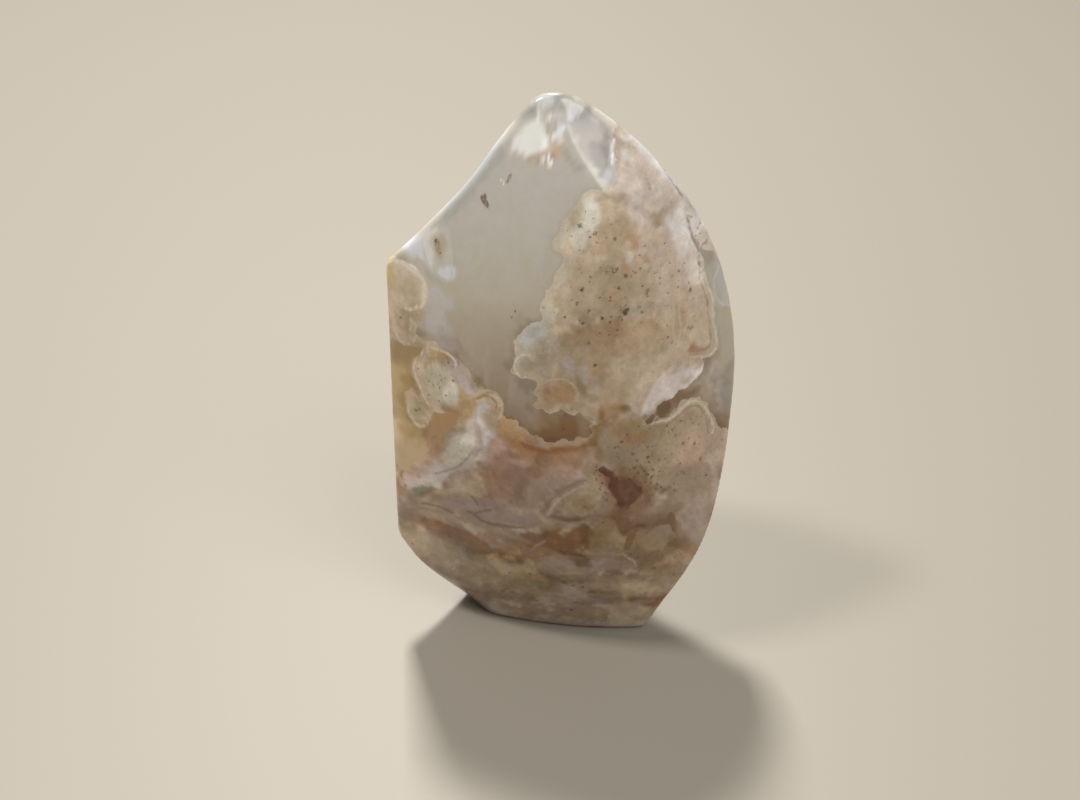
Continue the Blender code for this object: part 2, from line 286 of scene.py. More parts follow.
# Soft patches inside the clear zones: colour, strength, softness in pixels, and outline.
CLEAR_PATCHES = [
    ("grey high", 0.6, 20, [
        (480, 170), (560, 160), (585, 180), (560, 215), (530, 240), (480, 250), (450, 225)]),
    ("ochre", 1.0, 5, [
        (374, 330), (412, 342), (425, 350), (420, 395), (438, 410), (468, 408), (466, 430), (440, 445),
        (432, 480), (374, 482)]),
    ("pale ochre", 0.8, 7, [(390, 420), (410, 418), (426, 434), (428, 450), (412, 472), (390, 478)]),
    ("orange tan", 0.8, 4, [(430, 418), (462, 410), (458, 426), (442, 434), (430, 440)]),
    ("grey", 0.8, 4, [(712, 306), (745, 300), (745, 372), (712, 366), (720, 345)]),
    ("grey high", 0.8, 4, [(531, 185), (537, 220), (545, 265), (541, 290), (534, 260), (527, 215)]),
    ("lavender", 0.6, 6, [
        (430, 290), (442, 288), (450, 300), (449, 330), (452, 348), (438, 342), (424, 333), (421, 322),
        (425, 310)]),
    ("lavender", 0.8, 3, [(403, 240), (416, 231), (424, 238), (425, 256), (414, 257), (405, 250)]),
    ("grey low", 0.8, 3, [
        (386, 256), (398, 250), (412, 257), (424, 262), (430, 276), (420, 271), (408, 263), (396, 260)]),
    # Painted highlight: a pale blue band along the top left edge, where the lights glance off it.
    ("blue and edge sheen", 0.85, 1.5, [
        (403, 239), (430, 221), (451, 202), (466, 188), (481, 171), (491, 158), (501, 143), (508, 131),
        (500, 118), (460, 160), (420, 200), (392, 232)]),
    ("pale cream", 0.9, 0.8, [
        (422, 238), (420, 245), (424, 255), (428, 265), (433, 273), (440, 279), (446, 283), (450, 281),
        (453, 270), (453, 258), (450, 245), (449, 235), (445, 228), (436, 226), (428, 230)]),
    ("blue white", 0.75, 2, [
        (438, 268), (446, 264), (453, 266), (453, 277), (448, 283), (440, 280), (434, 272)]),
    ("tan", 0.5, 2.5, [(429, 240), (436, 233), (444, 238), (448, 252), (445, 262), (437, 261), (430, 250)]),
    ("brown", 0.5, 1.2, [(434, 238), (438, 239), (441, 249), (440, 256), (435, 252)]),
    # Painted shade: the tip's grey, darkened on the facet where the lights fall strongly.
    ("tip grey in painted shade", 0.9, 5, [
        (567, 105), (590, 112), (608, 130), (612, 160), (600, 176), (588, 160), (575, 140), (566, 120)]),
    ("grey dark", 0.8, 3, [
        (590, 143), (604, 147), (611, 156), (607, 170), (603, 182), (596, 172), (590, 158)]),
    # Painted shade: more of the tip's darkened grey, below the tip.
    ("tip grey in painted shade", 0.7, 5, [
        (548, 138), (560, 136), (572, 136), (588, 156), (594, 172), (575, 168), (560, 156)]),
    ("cream", 0.35, 3, [(566, 146), (576, 150), (588, 164), (592, 172), (580, 164), (570, 156)]),
    ("pink sand", 0.4, 7, [
        (500, 143), (520, 138), (550, 150), (570, 160), (556, 170), (530, 166), (508, 160)]),
    # Painted shade: the tip's darkened grey along its top edge.
    ("tip grey in painted shade", 0.9, 5, [
        (514, 118), (526, 96), (552, 88), (574, 92), (566, 104), (556, 112), (545, 118), (530, 122)]),
    # Partly painted highlight: pale blue along the top edge of the tip.
    ("blue and edge sheen", 0.7, 4, [(533, 100), (548, 95), (566, 98), (560, 106), (546, 106)]),
    ("ice white", 0.65, 2, [
        (562, 101), (575, 100), (586, 107), (578, 114), (571, 120), (567, 117), (568, 109)]),
    ("grey dark", 0.4, 3, [(548, 108), (558, 106), (562, 116), (556, 122), (550, 116)]),
    ("cream", 0.6, 5, [
        (504, 152), (508, 140), (518, 128), (530, 116), (545, 120), (552, 138), (548, 150), (534, 158),
        (516, 158)]),
    ("white", 1.0, 2, [
        (511, 150), (513, 140), (520, 132), (527, 121), (535, 117), (538, 110), (541, 117), (545, 125),
        (550, 137), (547, 147), (539, 152), (527, 156), (517, 154)]),
    ("ice white", 0.9, 1.5, [
        (554, 116), (561, 122), (567, 127), (563, 135), (556, 141), (552, 134), (557, 128)]),
    ("band brown", 0.7, 2, [
        (544, 118), (549, 128), (552, 138), (553, 142), (549, 146), (547, 136), (543, 126)]),
    ("pale pink", 0.6, 1.5, [
        (564, 134), (566, 137), (558, 146), (548, 152), (538, 156), (546, 149), (556, 142)]),
    ("band brown", 0.8, 2, [
        (525, 156), (538, 154), (550, 151), (560, 143), (563, 147), (556, 157), (545, 163), (530, 163)]),
    # Painted highlights: two small white glints of the lights on the tip.
    ("glint", 1.0, 0.8, [(540, 157), (543, 157), (543, 161), (541, 161)]),
    ("glint", 1.0, 0.8, [(547, 158), (551, 158), (552, 163), (549, 164)]),
    ("tip blue", 0.95, 2, [(603, 176), (607, 168), (617, 163), (616, 177), (612, 187), (605, 184)]),
    ("blue and edge sheen", 0.8, 1.5, [(611, 140), (615, 139), (616, 152), (614, 164), (611, 163)]),
    ("gap brown", 0.4, 8, [
        (420, 336), (440, 340), (455, 350), (466, 360), (472, 374), (486, 388), (478, 376), (470, 356),
        (455, 344), (436, 335)]),
    ("gap brown", 0.5, 8, [
        (500, 400), (515, 412), (540, 420), (560, 430), (585, 425), (590, 440), (550, 446), (515, 432)]),
    ("dark brown", 0.7, 3, [
        (517, 420), (530, 428), (545, 437), (560, 436), (583, 432), (586, 440), (560, 448), (535, 440)]),
    ("grey brown", 0.6, 3, [(527, 418), (536, 416), (546, 420), (552, 428), (540, 430)]),
    ("gap brown", 0.7, 4, [(560, 414), (586, 414), (592, 424), (588, 442), (564, 444)]),
    ("dark brown", 0.75, 3, [(594, 466), (612, 470), (612, 490), (600, 486)]),
    ("red", 0.9, 3, [
        (601, 466), (616, 472), (634, 474), (646, 486), (642, 500), (626, 505), (606, 498), (601, 480)]),
    ("red brown", 0.5, 2, [(620, 484), (632, 484), (638, 494), (628, 500), (620, 494)]),
    ("gap brown", 0.9, 4, [
        (645, 424), (655, 405), (672, 394), (690, 385), (700, 384), (704, 392), (690, 400), (665, 414)]),
    ("lavender", 0.7, 3, [
        (712, 262), (722, 262), (732, 285), (732, 303), (718, 304), (712, 290), (712, 272)]),
    ("lavender", 0.5, 6, [(716, 366), (736, 366), (736, 408), (724, 412), (712, 392)]),
    ("blue and edge sheen", 0.5, 2, [(720, 388), (727, 384), (732, 390), (726, 396)]),
    ("streak brown", 0.35, 4, [(700, 247), (712, 251), (712, 264), (703, 262)]),
]

# Soft patches of the opaque parts, from the broad ones to the small ones.
BLOSSOM_PATCHES = [
    ("sand", 0.9, 12, [(560, 190), (620, 185), (650, 240), (640, 330), (560, 340), (540, 290), (560, 250)]),
    ("olive tan", 0.7, 10, [
        (560, 262), (590, 254), (640, 262), (666, 285), (656, 312), (640, 330), (600, 326), (570, 334),
        (546, 326), (548, 290)]),
    ("olive", 0.2, 7, [(575, 275), (615, 268), (640, 290), (640, 318), (600, 322), (570, 310)]),
    ("pink", 0.9, 6, [
        (614, 138), (640, 150), (668, 178), (690, 212), (700, 240), (702, 262), (690, 282), (672, 266),
        (668, 242), (655, 236), (640, 226), (625, 215), (616, 200), (612, 182), (618, 160)]),
    ("pink sand", 0.8, 9, [
        (640, 240), (668, 240), (690, 280), (700, 310), (680, 318), (660, 300), (645, 270)]),
    ("pale pink", 0.8, 5, [
        (672, 212), (684, 208), (692, 225), (699, 250), (703, 275), (694, 280), (684, 262), (674, 245),
        (668, 228)]),
    ("pale pink", 0.4, 4, [(626, 168), (640, 172), (648, 182), (640, 204), (628, 196), (620, 178)]),
    # Painted shade: a darker pink over the top of the pink, where the lights fall strongly.
    ("painted shade pink", 0.7, 8, [
        (608, 126), (628, 126), (652, 154), (668, 178), (664, 196), (648, 204), (630, 200), (614, 194),
        (610, 160)]),
    ("border tan", 0.85, 1.5, [
        (613, 134), (618, 138), (625, 143), (632, 144), (640, 150), (636, 154), (626, 148), (620, 152),
        (622, 162), (618, 176), (615, 186), (612, 182), (617, 166), (616, 150)]),
    # Painted highlight: a pale band along the top right edge.
    ("blue and edge sheen", 0.6, 3, [
        (632, 126), (654, 150), (678, 178), (698, 206), (708, 222), (700, 224), (688, 206), (668, 182),
        (646, 158), (630, 138)]),
    ("warm cream", 0.6, 4, [(692, 290), (704, 290), (710, 320), (711, 345), (700, 350), (690, 330)]),
    ("pale green", 0.75, 5, [
        (577, 197), (568, 222), (556, 238), (563, 258), (556, 276), (546, 292), (543, 320), (553, 322),
        (556, 296), (566, 280), (574, 262), (568, 244), (578, 224), (588, 204)]),
    ("milk", 0.9, 3, [
        (580, 196), (590, 200), (598, 206), (601, 216), (597, 227), (590, 237), (585, 246), (576, 250),
        (570, 245), (571, 234), (577, 225), (583, 214)]),
    ("tan", 0.3, 3, [(572, 202), (580, 198), (583, 210), (577, 222), (570, 228), (567, 217)]),
    ("cream", 0.7, 3, [(590, 188), (602, 185), (613, 188), (612, 195), (598, 197), (588, 194)]),
    ("band brown", 0.45, 4, [
        (612, 190), (620, 203), (630, 216), (640, 232), (645, 250), (634, 252), (626, 236), (616, 218),
        (608, 200)]),
    ("orange tan", 0.45, 7, [
        (545, 326), (570, 330), (600, 328), (625, 326), (650, 320), (660, 332), (640, 345), (612, 349),
        (580, 344), (550, 346)]),
    ("orange", 0.2, 4, [(600, 330), (615, 326), (625, 334), (612, 343), (600, 340)]),
    ("tan", 0.55, 9, [
        (552, 345), (590, 350), (640, 345), (650, 380), (630, 405), (600, 420), (575, 405), (555, 380)]),
    ("pale tan", 0.5, 6, [(600, 352), (625, 350), (640, 370), (622, 385), (600, 376)]),
    ("warm cream", 0.8, 8, [
        (640, 350), (668, 340), (690, 352), (700, 366), (680, 385), (660, 400), (640, 410), (630, 390)]),
    ("white lobe", 0.7, 7, [
        (710, 362), (708, 372), (698, 384), (688, 392), (676, 400), (664, 408), (655, 416), (646, 420),
        (641, 410), (648, 396), (658, 384), (670, 376), (686, 367), (698, 362)]),
    ("white lobe", 0.9, 1.5, [
        (709, 364), (702, 376), (690, 389), (678, 399), (666, 406), (656, 416), (648, 420), (652, 408),
        (664, 397), (676, 389), (690, 377), (699, 366)]),
    ("pale tan", 0.5, 5, [(636, 360), (650, 352), (664, 358), (656, 372), (640, 378)]),
    ("pale green", 0.7, 7, [
        (514, 342), (528, 328), (545, 322), (560, 334), (560, 352), (552, 372), (530, 378), (516, 372)]),
    ("blue white", 0.7, 5, [
        (513, 343), (522, 330), (534, 323), (544, 326), (546, 337), (536, 346), (522, 351)]),
    ("tan", 0.4, 4, [(534, 338), (546, 338), (548, 349), (538, 352)]),
    ("olive tan", 0.6, 2.5, [(521, 360), (530, 358), (536, 365), (531, 374), (523, 373)]),
    ("pale tan", 0.6, 4, [(536, 354), (556, 356), (558, 372), (544, 378), (534, 374)]),
    ("lilac", 0.7, 2, [(561, 358), (569, 356), (576, 362), (577, 370), (572, 376), (565, 371)]),
    ("lilac", 0.7, 1.5, [(580, 368), (586, 367), (589, 378), (586, 386), (581, 381)]),
    ("olive", 0.6, 1.5, [
        (574, 371), (578, 370), (580, 380), (587, 388), (586, 397), (580, 393), (575, 383)]),
    ("lilac", 0.5, 3, [(588, 384), (600, 383), (604, 393), (594, 397)]),
    ("orange tan", 0.4, 3, [(590, 365), (601, 368), (599, 377), (590, 374)]),
    ("orange tan", 0.7, 2.5, [
        (539, 388), (546, 384), (560, 383), (571, 387), (575, 395), (570, 403), (552, 402), (541, 398)]),
    ("brown", 0.45, 2, [(546, 387), (556, 384), (558, 390), (548, 394)]),
    ("pale tan", 0.8, 1.5, [
        (535, 402), (544, 401), (550, 406), (560, 406), (570, 404), (574, 409), (564, 411), (556, 409),
        (551, 415), (545, 411), (536, 408)]),
    ("border tan", 0.5, 3, [
        (636, 210), (646, 208), (655, 212), (663, 207), (670, 197), (677, 200), (675, 210), (672, 219),
        (668, 214), (662, 222), (660, 231), (653, 230), (647, 221), (640, 216)]),
    ("tan", 0.5, 1.5, [(650, 215), (660, 213), (661, 224), (658, 230), (653, 228)]),
    ("pale pink", 0.6, 2, [
        (676, 190), (690, 205), (705, 222), (709, 232), (700, 230), (690, 216), (680, 203)]),
    ("band brown", 0.55, 3, [(630, 142), (638, 146), (640, 157), (633, 157)]),
    ("band brown", 0.45, 3, [(668, 292), (682, 286), (688, 300), (684, 340), (675, 342), (672, 312)]),
    ("orange", 0.45, 2.5, [(629, 234), (638, 236), (639, 250), (632, 249)]),
    ("orange", 0.35, 2.5, [(624, 262), (629, 264), (626, 278), (621, 276)]),
    ("orange tan", 0.6, 1.2, [(635, 258), (641, 255), (647, 258), (647, 264), (643, 260)]),
    ("orange", 0.4, 3, [(608, 303), (614, 292), (621, 288), (616, 299)]),
    ("orange tan", 0.35, 3, [(673, 306), (686, 310), (686, 332), (676, 330)]),
    ("cream", 0.7, 2, [(627, 254), (632, 254), (633, 262), (628, 263)]),
    ("orange", 0.65, 2.5, [(688, 348), (703, 346), (705, 352), (692, 353)]),
    ("tan", 0.45, 4, [
        (594, 228), (612, 224), (622, 210), (632, 222), (640, 214), (640, 226), (622, 246), (600, 258),
        (590, 246)]),
    ("tan", 0.5, 6, [(590, 330), (660, 322), (668, 340), (640, 352), (596, 350)]),
    ("pale pink", 0.35, 2, [
        (683, 208), (694, 210), (706, 222), (714, 238), (712, 250), (702, 250), (694, 240), (688, 222)]),
    ("tan", 0.15, 4, [(395, 272), (408, 274), (415, 286), (412, 298), (400, 300), (393, 290)]),
    ("yellow", 0.7, 4, [(382, 258), (390, 260), (394, 270), (390, 282), (382, 282)]),
    ("olive tan", 0.3, 3, [(407, 276), (414, 280), (419, 292), (416, 303), (407, 303), (404, 290)]),
    ("olive tan", 0.7, 5, [(410, 310), (424, 306), (428, 320), (420, 334), (410, 336), (404, 322)]),
    ("ring tan", 0.85, 2.5, [(392, 318), (404, 318), (416, 330), (418, 341), (408, 346), (398, 340)]),
    ("olive", 0.5, 2, [(398, 314), (406, 312), (407, 324), (401, 330), (396, 322)]),
    ("deep pink", 0.6, 2, [(398, 328), (408, 328), (412, 336), (404, 338), (398, 334)]),
    ("ochre", 0.85, 6, [
        (380, 312), (392, 318), (400, 342), (416, 346), (424, 352), (412, 372), (408, 400), (407, 440),
        (405, 474), (392, 474), (380, 420)]),
    ("pale ochre", 0.7, 5, [(396, 430), (410, 425), (424, 432), (428, 448), (412, 470), (398, 474)]),
    ("orange tan", 0.7, 4, [(424, 424), (440, 412), (458, 412), (458, 424), (440, 432), (428, 440)]),
    ("ochre", 0.9, 3, [
        (424, 344), (440, 350), (458, 362), (484, 392), (470, 420), (440, 414), (424, 400), (412, 376)]),
    ("pink sand", 0.8, 1.5, [
        (427, 344), (418, 356), (412, 368), (415, 380), (422, 395), (429, 409), (446, 410), (436, 400),
        (428, 390), (424, 378), (424, 366), (430, 352)]),
    ("speckle cream", 1.0, 1.2, [
        (437, 361), (446, 362), (449, 369), (451, 377), (457, 383), (460, 393), (457, 404), (449, 408),
        (440, 403), (431, 399), (426, 390), (422, 376), (424, 367), (431, 362)]),
    ("milk", 0.6, 2, [(449, 384), (456, 386), (458, 396), (452, 404), (446, 400)]),
    ("lilac", 0.9, 2, [
        (455, 361), (464, 367), (473, 378), (484, 391), (478, 397), (468, 396), (460, 386), (455, 376),
        (450, 368)]),
    ("pink sand", 0.85, 1.5, [
        (411, 387), (417, 396), (424, 404), (430, 410), (446, 410), (444, 421), (432, 420), (424, 429),
        (414, 425), (408, 414), (406, 402)]),
    ("speckle cream", 1.0, 1.2, [
        (415, 402), (420, 401), (425, 408), (424, 416), (419, 420), (414, 415), (412, 408)]),
    ("line brown", 0.7, 2, [
        (444, 405), (458, 407), (466, 399), (474, 398), (466, 410), (458, 414), (446, 413)]),
    ("deep pink", 0.5, 5, [
        (398, 462), (410, 448), (428, 440), (440, 450), (434, 474), (412, 482), (398, 482)]),
    ("pink sand", 0.5, 3, [(402, 470), (420, 462), (436, 466), (440, 480), (420, 490), (406, 484)]),
    ("pale ochre", 0.6, 4, [
        (472, 394), (490, 390), (502, 400), (512, 420), (528, 434), (520, 444), (500, 432), (488, 412)]),
    ("deep pink", 0.7, 9, [(490, 432), (520, 444), (540, 452), (535, 475), (505, 478), (488, 460)]),
    ("orange tan", 0.7, 2.5, [
        (500, 426), (512, 438), (528, 446), (545, 451), (562, 450), (578, 447), (590, 448), (597, 438),
        (600, 446), (588, 456), (562, 459), (540, 458), (520, 452), (506, 440)]),
    ("rust", 0.8, 1.5, [(522, 444), (545, 449), (562, 447), (580, 444), (588, 446), (562, 453), (540, 454)]),
    ("mauve", 0.85, 7, [(496, 464), (514, 460), (530, 468), (536, 482), (524, 494), (506, 490), (494, 478)]),
    ("orange tan", 0.4, 5, [(484, 474), (494, 474), (498, 486), (490, 492)]),
    ("red brown", 0.8, 4, [(504, 490), (520, 488), (526, 498), (518, 506), (506, 502)]),
    ("pale tan", 0.75, 5, [(436, 484), (470, 478), (484, 482), (486, 494), (470, 500), (438, 499)]),
    ("pale tan", 0.7, 4, [(404, 502), (424, 502), (442, 510), (438, 518), (414, 516)]),
    ("rust", 0.8, 2.5, [(538, 450), (549, 452), (546, 462), (541, 471), (535, 478), (534, 466)]),
    ("ragged white", 1.0, 2.5, [
        (480, 402), (490, 401), (495, 410), (499, 422), (497, 432), (492, 442), (486, 454), (476, 464),
        (462, 470), (448, 476), (440, 490), (430, 488), (412, 492), (408, 484), (416, 476), (430, 472),
        (440, 464), (442, 456), (448, 444), (456, 434), (466, 426), (473, 416), (476, 408)]),
    ("blue white", 0.3, 2, [
        (480, 405), (490, 404), (493, 412), (497, 424), (492, 436), (486, 446), (482, 440), (484, 428),
        (478, 418)]),
    ("pale green", 0.6, 2.5, [
        (470, 430), (477, 430), (476, 444), (472, 454), (462, 462), (450, 466), (444, 462), (450, 450),
        (458, 438)]),
    ("dull lilac", 0.6, 2, [(475, 424), (480, 430), (482, 444), (478, 456), (473, 452), (476, 438)]),
    ("olive", 0.4, 2, [(446, 430), (462, 426), (466, 432), (454, 438), (446, 450), (440, 452), (442, 440)]),
    ("orange tan", 0.55, 2.5, [(430, 430), (444, 432), (444, 446), (436, 454), (429, 444)]),
    ("marble", 0.75, 7, [
        (538, 466), (556, 458), (592, 450), (602, 464), (600, 482), (580, 494), (560, 508), (540, 514),
        (530, 502), (532, 482)]),
    ("mauve lilac", 0.85, 6, [
        (530, 462), (552, 458), (568, 466), (572, 480), (556, 492), (540, 506), (530, 496)]),
    ("deep pink", 0.5, 5, [(546, 466), (566, 462), (574, 470), (556, 476)]),
    ("dull lilac", 0.8, 2, [
        (552, 496), (562, 487), (576, 482), (590, 478), (590, 484), (576, 488), (564, 494), (556, 502)]),
    ("marble", 0.9, 1.5, [
        (545, 514), (552, 503), (564, 494), (580, 487), (590, 485), (586, 492), (570, 498), (558, 506),
        (550, 516)]),
    ("mauve", 0.6, 2, [(540, 512), (546, 502), (556, 496), (552, 504), (546, 514)]),
    ("speckle cream", 0.7, 3, [
        (588, 452), (600, 462), (601, 480), (606, 494), (600, 502), (584, 496), (586, 480), (592, 470)]),
    ("low tan", 0.9, 4, [
        (556, 500), (570, 496), (600, 497), (614, 500), (616, 508), (600, 516), (576, 520), (556, 514)]),
    ("olive", 0.45, 3, [(566, 506), (580, 502), (594, 506), (584, 514), (568, 512)]),
    ("green cream", 0.95, 6, [
        (592, 422), (630, 418), (652, 424), (664, 440), (660, 470), (640, 480), (606, 470), (594, 448)]),
    ("tan", 0.6, 4, [(600, 424), (640, 418), (652, 424), (644, 438), (620, 442), (604, 438)]),
    ("orange", 0.3, 4, [(610, 437), (630, 438), (642, 433), (652, 422), (652, 432), (640, 443), (620, 445)]),
    ("blossom tan", 0.9, 6, [
        (650, 418), (690, 402), (712, 412), (718, 450), (710, 486), (680, 500), (650, 496), (644, 470),
        (656, 440)]),
    ("deep pink", 0.6, 8, [(672, 434), (690, 428), (704, 440), (704, 462), (688, 470), (672, 460)]),
    ("warm cream", 0.8, 5, [(706, 420), (724, 420), (732, 450), (720, 492), (706, 500), (708, 462)]),
    ("pale tan", 0.7, 2.5, [
        (655, 419), (668, 417), (684, 404), (697, 399), (706, 406), (712, 420), (706, 424), (700, 412),
        (690, 409), (676, 420), (662, 424)]),
    ("low tan", 0.75, 6, [(655, 472), (690, 466), (714, 472), (710, 500), (690, 508), (656, 500)]),
    ("low tan", 0.6, 5, [(664, 528), (684, 516), (700, 520), (694, 544), (676, 552)]),
    ("low lilac", 0.5, 7, [
        (640, 504), (680, 500), (708, 500), (702, 524), (690, 540), (668, 530), (650, 514)]),
    ("mauve tan", 0.6, 8, [
        (400, 488), (440, 492), (500, 508), (556, 520), (552, 534), (500, 530), (440, 520), (398, 504)]),
    ("dull lilac", 0.8, 4, [
        (440, 498), (475, 496), (520, 512), (548, 522), (520, 532), (480, 522), (448, 512)]),
    ("low tan", 0.7, 3, [
        (400, 508), (430, 506), (470, 516), (500, 528), (480, 532), (440, 522), (404, 518)]),
    ("streak red", 0.5, 4, [
        (414, 524), (440, 526), (465, 530), (500, 540), (530, 546), (500, 548), (465, 543), (436, 532),
        (416, 526)]),
    ("streak brown", 0.6, 5, [
        (468, 540), (500, 546), (540, 548), (564, 556), (540, 566), (500, 558), (470, 550)]),
    ("lilac", 0.6, 4, [(408, 477), (430, 471), (446, 471), (443, 482), (420, 489), (408, 488)]),
    ("streak red", 0.55, 4, [
        (598, 464), (620, 468), (646, 477), (660, 488), (652, 504), (630, 514), (612, 522), (604, 512),
        (602, 490)]),
    ("dark green", 0.75, 2, [(413, 489), (422, 486), (434, 488), (430, 494), (418, 497)]),
    ("low tan", 0.8, 5, [(540, 520), (558, 518), (570, 524), (564, 533), (546, 534)]),
    ("low brown", 0.8, 5, [
        (518, 532), (550, 533), (566, 530), (578, 522), (592, 520), (594, 534), (588, 550), (570, 554),
        (550, 552), (534, 543)]),
    ("rust", 0.35, 6, [(556, 536), (574, 528), (588, 530), (588, 546), (572, 551), (556, 548)]),
    ("low cream", 0.9, 3, [
        (592, 527), (604, 521), (616, 525), (620, 538), (616, 550), (600, 552), (590, 544)]),
    ("low brown", 0.6, 2, [(616, 520), (628, 516), (631, 528), (622, 534)]),
    ("streak brown", 0.6, 4, [
        (470, 543), (500, 550), (540, 550), (549, 557), (530, 564), (500, 561), (472, 553)]),
    ("low cream", 0.85, 5, [
        (462, 559), (500, 564), (534, 566), (536, 584), (510, 592), (480, 586), (460, 574)]),
    ("low lilac", 0.75, 5, [(542, 557), (560, 554), (578, 560), (576, 571), (556, 571)]),
    ("low lilac", 0.8, 5, [(586, 556), (606, 552), (630, 557), (638, 567), (620, 573), (590, 571)]),
    ("foot brown", 0.6, 5, [(638, 560), (656, 556), (684, 555), (682, 568), (660, 573), (640, 571)]),
    ("foot brown", 0.8, 4, [(556, 575), (590, 573), (640, 574), (642, 581), (600, 583), (560, 582)]),
    ("low tan", 0.8, 5, [
        (628, 540), (650, 526), (676, 520), (686, 540), (670, 558), (640, 562), (626, 556)]),
    ("pale tan", 0.55, 2.5, [
        (636, 535), (650, 531), (662, 534), (667, 543), (660, 550), (646, 548), (637, 544)]),
    ("low lilac", 0.8, 2, [(655, 530), (664, 524), (672, 528), (668, 536), (660, 538)]),
    ("orange tan", 0.3, 4, [(676, 546), (694, 544), (692, 560), (678, 562)]),
    ("foot", 0.9, 5, [(592, 582), (640, 579), (674, 574), (674, 586), (640, 592), (596, 590)]),
    ("foot brown", 0.7, 3.5, [(592, 592), (616, 590), (632, 593), (630, 600), (610, 602), (594, 600)]),
    ("low lilac", 0.7, 3, [(560, 588), (576, 584), (590, 588), (588, 598), (566, 600)]),
    ("foot brown", 0.7, 3, [(538, 582), (552, 580), (562, 586), (558, 594), (542, 593)]),
    ("foot", 0.8, 3, [(600, 603), (640, 601), (656, 606), (640, 616), (604, 612)]),
    ("low brown", 0.6, 5, [(556, 604), (600, 604), (606, 618), (560, 622)]),
    ("foot brown", 0.7, 8, [(470, 590), (520, 600), (560, 612), (556, 624), (500, 616), (460, 596)]),
    ("low cream", 0.5, 4, [(640, 454), (656, 450), (664, 464), (656, 474), (642, 468)]),
    ("orange tan", 0.35, 6, [(672, 548), (692, 546), (690, 566), (664, 570), (650, 562)]),
    ("orange tan", 0.4, 6, [(500, 540), (530, 544), (560, 548), (560, 560), (524, 560), (500, 552)]),
    ("foot", 0.7, 5, [(642, 570), (684, 566), (680, 582), (650, 586)]),
    ("foot", 0.55, 6, [(488, 560), (540, 560), (546, 578), (530, 588), (500, 588), (484, 576)]),
    ("low brown", 0.45, 5, [(468, 592), (500, 592), (540, 604), (544, 618), (500, 606), (470, 600)]),
    ("pale ochre", 0.5, 8, [(396, 532), (430, 536), (446, 556), (430, 566), (400, 552)]),
]
